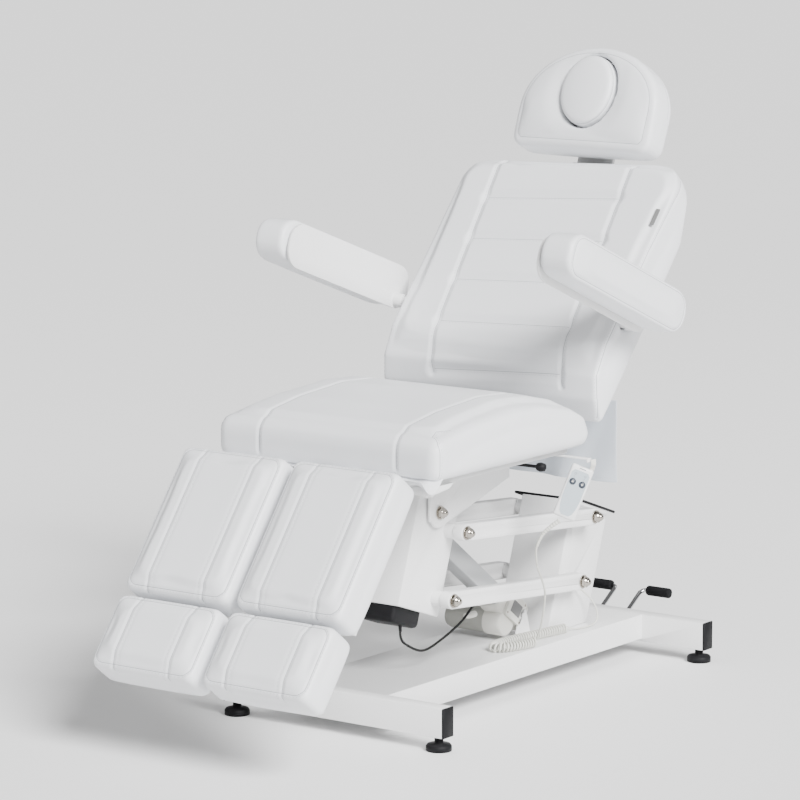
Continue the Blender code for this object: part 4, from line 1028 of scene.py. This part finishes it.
def motor():
    """The motor's grey lower shell, its cover with a blank label and screws, and the cable plug."""
    low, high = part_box("actuator_motor")
    mesh = frame["nodes"]["actuator_motor"].data
    mesh.materials.append(MOTOR)
    for face in mesh.polygons:
        face.material_index = int(face.center.x < -0.0279)
    axis = Vector(JOINTS["actuator_stroke"]["axis"])
    pitch = math.atan2(axis.z, -axis.y)
    centre = Vector((high.x, (low.y + high.y) / 2, (low.z + high.z) / 2))
    upward = Vector((0, math.sin(pitch), math.cos(pitch)))
    out = axes_frame(centre, upward, Vector((1, 0, 0)))
    outline = round_rect(-0.036, -0.030, 0.036, 0.030, 0.008)
    cover = plate("motor_cover", outline, -0.0010, 0.0085, CREAM, out, 0.0015)
    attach(cover, "actuator")
    out = out @ Matrix.Translation((0, 0, 0.0085))
    outline = round_rect(-0.021, -0.015, 0.021, 0.015, 0.0015)
    label = plate("motor_label", outline, -0.0004, 0.0006, LABEL, out, 0.0003)
    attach(label, "actuator")
    for number, (a, b) in enumerate(((-0.029, 0.023), (0.029, 0.023), (0.029, -0.023), (-0.029, -0.023))):
        at = out @ Matrix.Translation((a, b, 0))
        head = plate(f"motor_screw_{number + 1}", disc(0, 0, 0.0028, 18), -0.0010, 0.0012, STEEL, at, 0.0005)
        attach(head, "actuator")
    plug = tube("motor_plug", ((0.020, 0.112, 0.186), (0.021, 0.130, 0.184), (0.022, 0.150, 0.184)), 0.0075,
                CREAM, sides=16, step=0.002, taper=lambda t: 0.72 + 0.28 * min(1.0, 3 * t))
    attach(plug, "actuator")


# ---------------------------------------------------------------- staging
def stage():
    """A pale floor, a soft sun, four area lights and the camera."""
    bm = bmesh.new()
    bmesh.ops.create_grid(bm, x_segments=1, y_segments=1, size=FLOOR_HALF)
    look = material("studio_floor", (0.93, 0.93, 0.93), 0.6)
    floor = from_bmesh("studio_floor", bm, look, Matrix.Translation((0, 0, -0.0005)))
    sun = bpy.data.lights.new("sun", "SUN")
    sun.energy = 8.6
    sun.angle = 0.45
    daylight = bpy.data.objects.new("sun", sun)
    bpy.context.scene.collection.objects.link(daylight)
    daylight.rotation_euler = Vector((-0.95, 0.38, -0.75)).to_track_quat("-Z", "Y").to_euler()
    for name, place, aim, wide, power, tint in (
            ("key", (-4.0, -4.4, 3.0), (0, 0, 0.7), 2.4, 26, (1, 1, 1)),
            ("fill", (5.6, -2.6, 2.4), (0, 0, 0.7), 3.2, 40, (0.97, 0.98, 1)),
            ("top", (0.2, -0.2, 5.2), (0, 0.0, 0.6), 3.4, 45, (1, 1, 1)),
            ("rim", (1.0, 5.4, 3.0), (0, 0.2, 0.9), 2.4, 30, (1, 1, 1))):
        lamp = bpy.data.lights.new(name, "AREA")
        lamp.size = wide
        lamp.energy = power
        lamp.color = tint
        obj = bpy.data.objects.new(name, lamp)
        bpy.context.scene.collection.objects.link(obj)
        obj.location = place
        obj.rotation_euler = (Vector(aim) - Vector(place)).to_track_quat("-Z", "Y").to_euler()
    world = bpy.data.worlds.new("studio")
    world.use_nodes = True
    world.node_tree.nodes["Background"].inputs["Color"].default_value = (1.0, 1.0, 1.0, 1)
    world.node_tree.nodes["Background"].inputs["Strength"].default_value = 0.27
    bpy.context.scene.world = world
    lens = bpy.data.cameras.new("camera")
    lens.lens = LENS_MM
    lens.sensor_width = 36
    lens.clip_end = 100
    camera = bpy.data.objects.new("camera", lens)
    bpy.context.scene.collection.objects.link(camera)
    camera.location = CAMERA_AT
    camera.rotation_euler = (Vector(CAMERA_AIM) - camera.location).to_track_quat("-Z", "Y").to_euler()
    bpy.context.scene.camera = camera


dress_frame()
upholster()
apron()
hinge_flaps()
cords()
handset()
trims()
nuts()
motor()
stage()
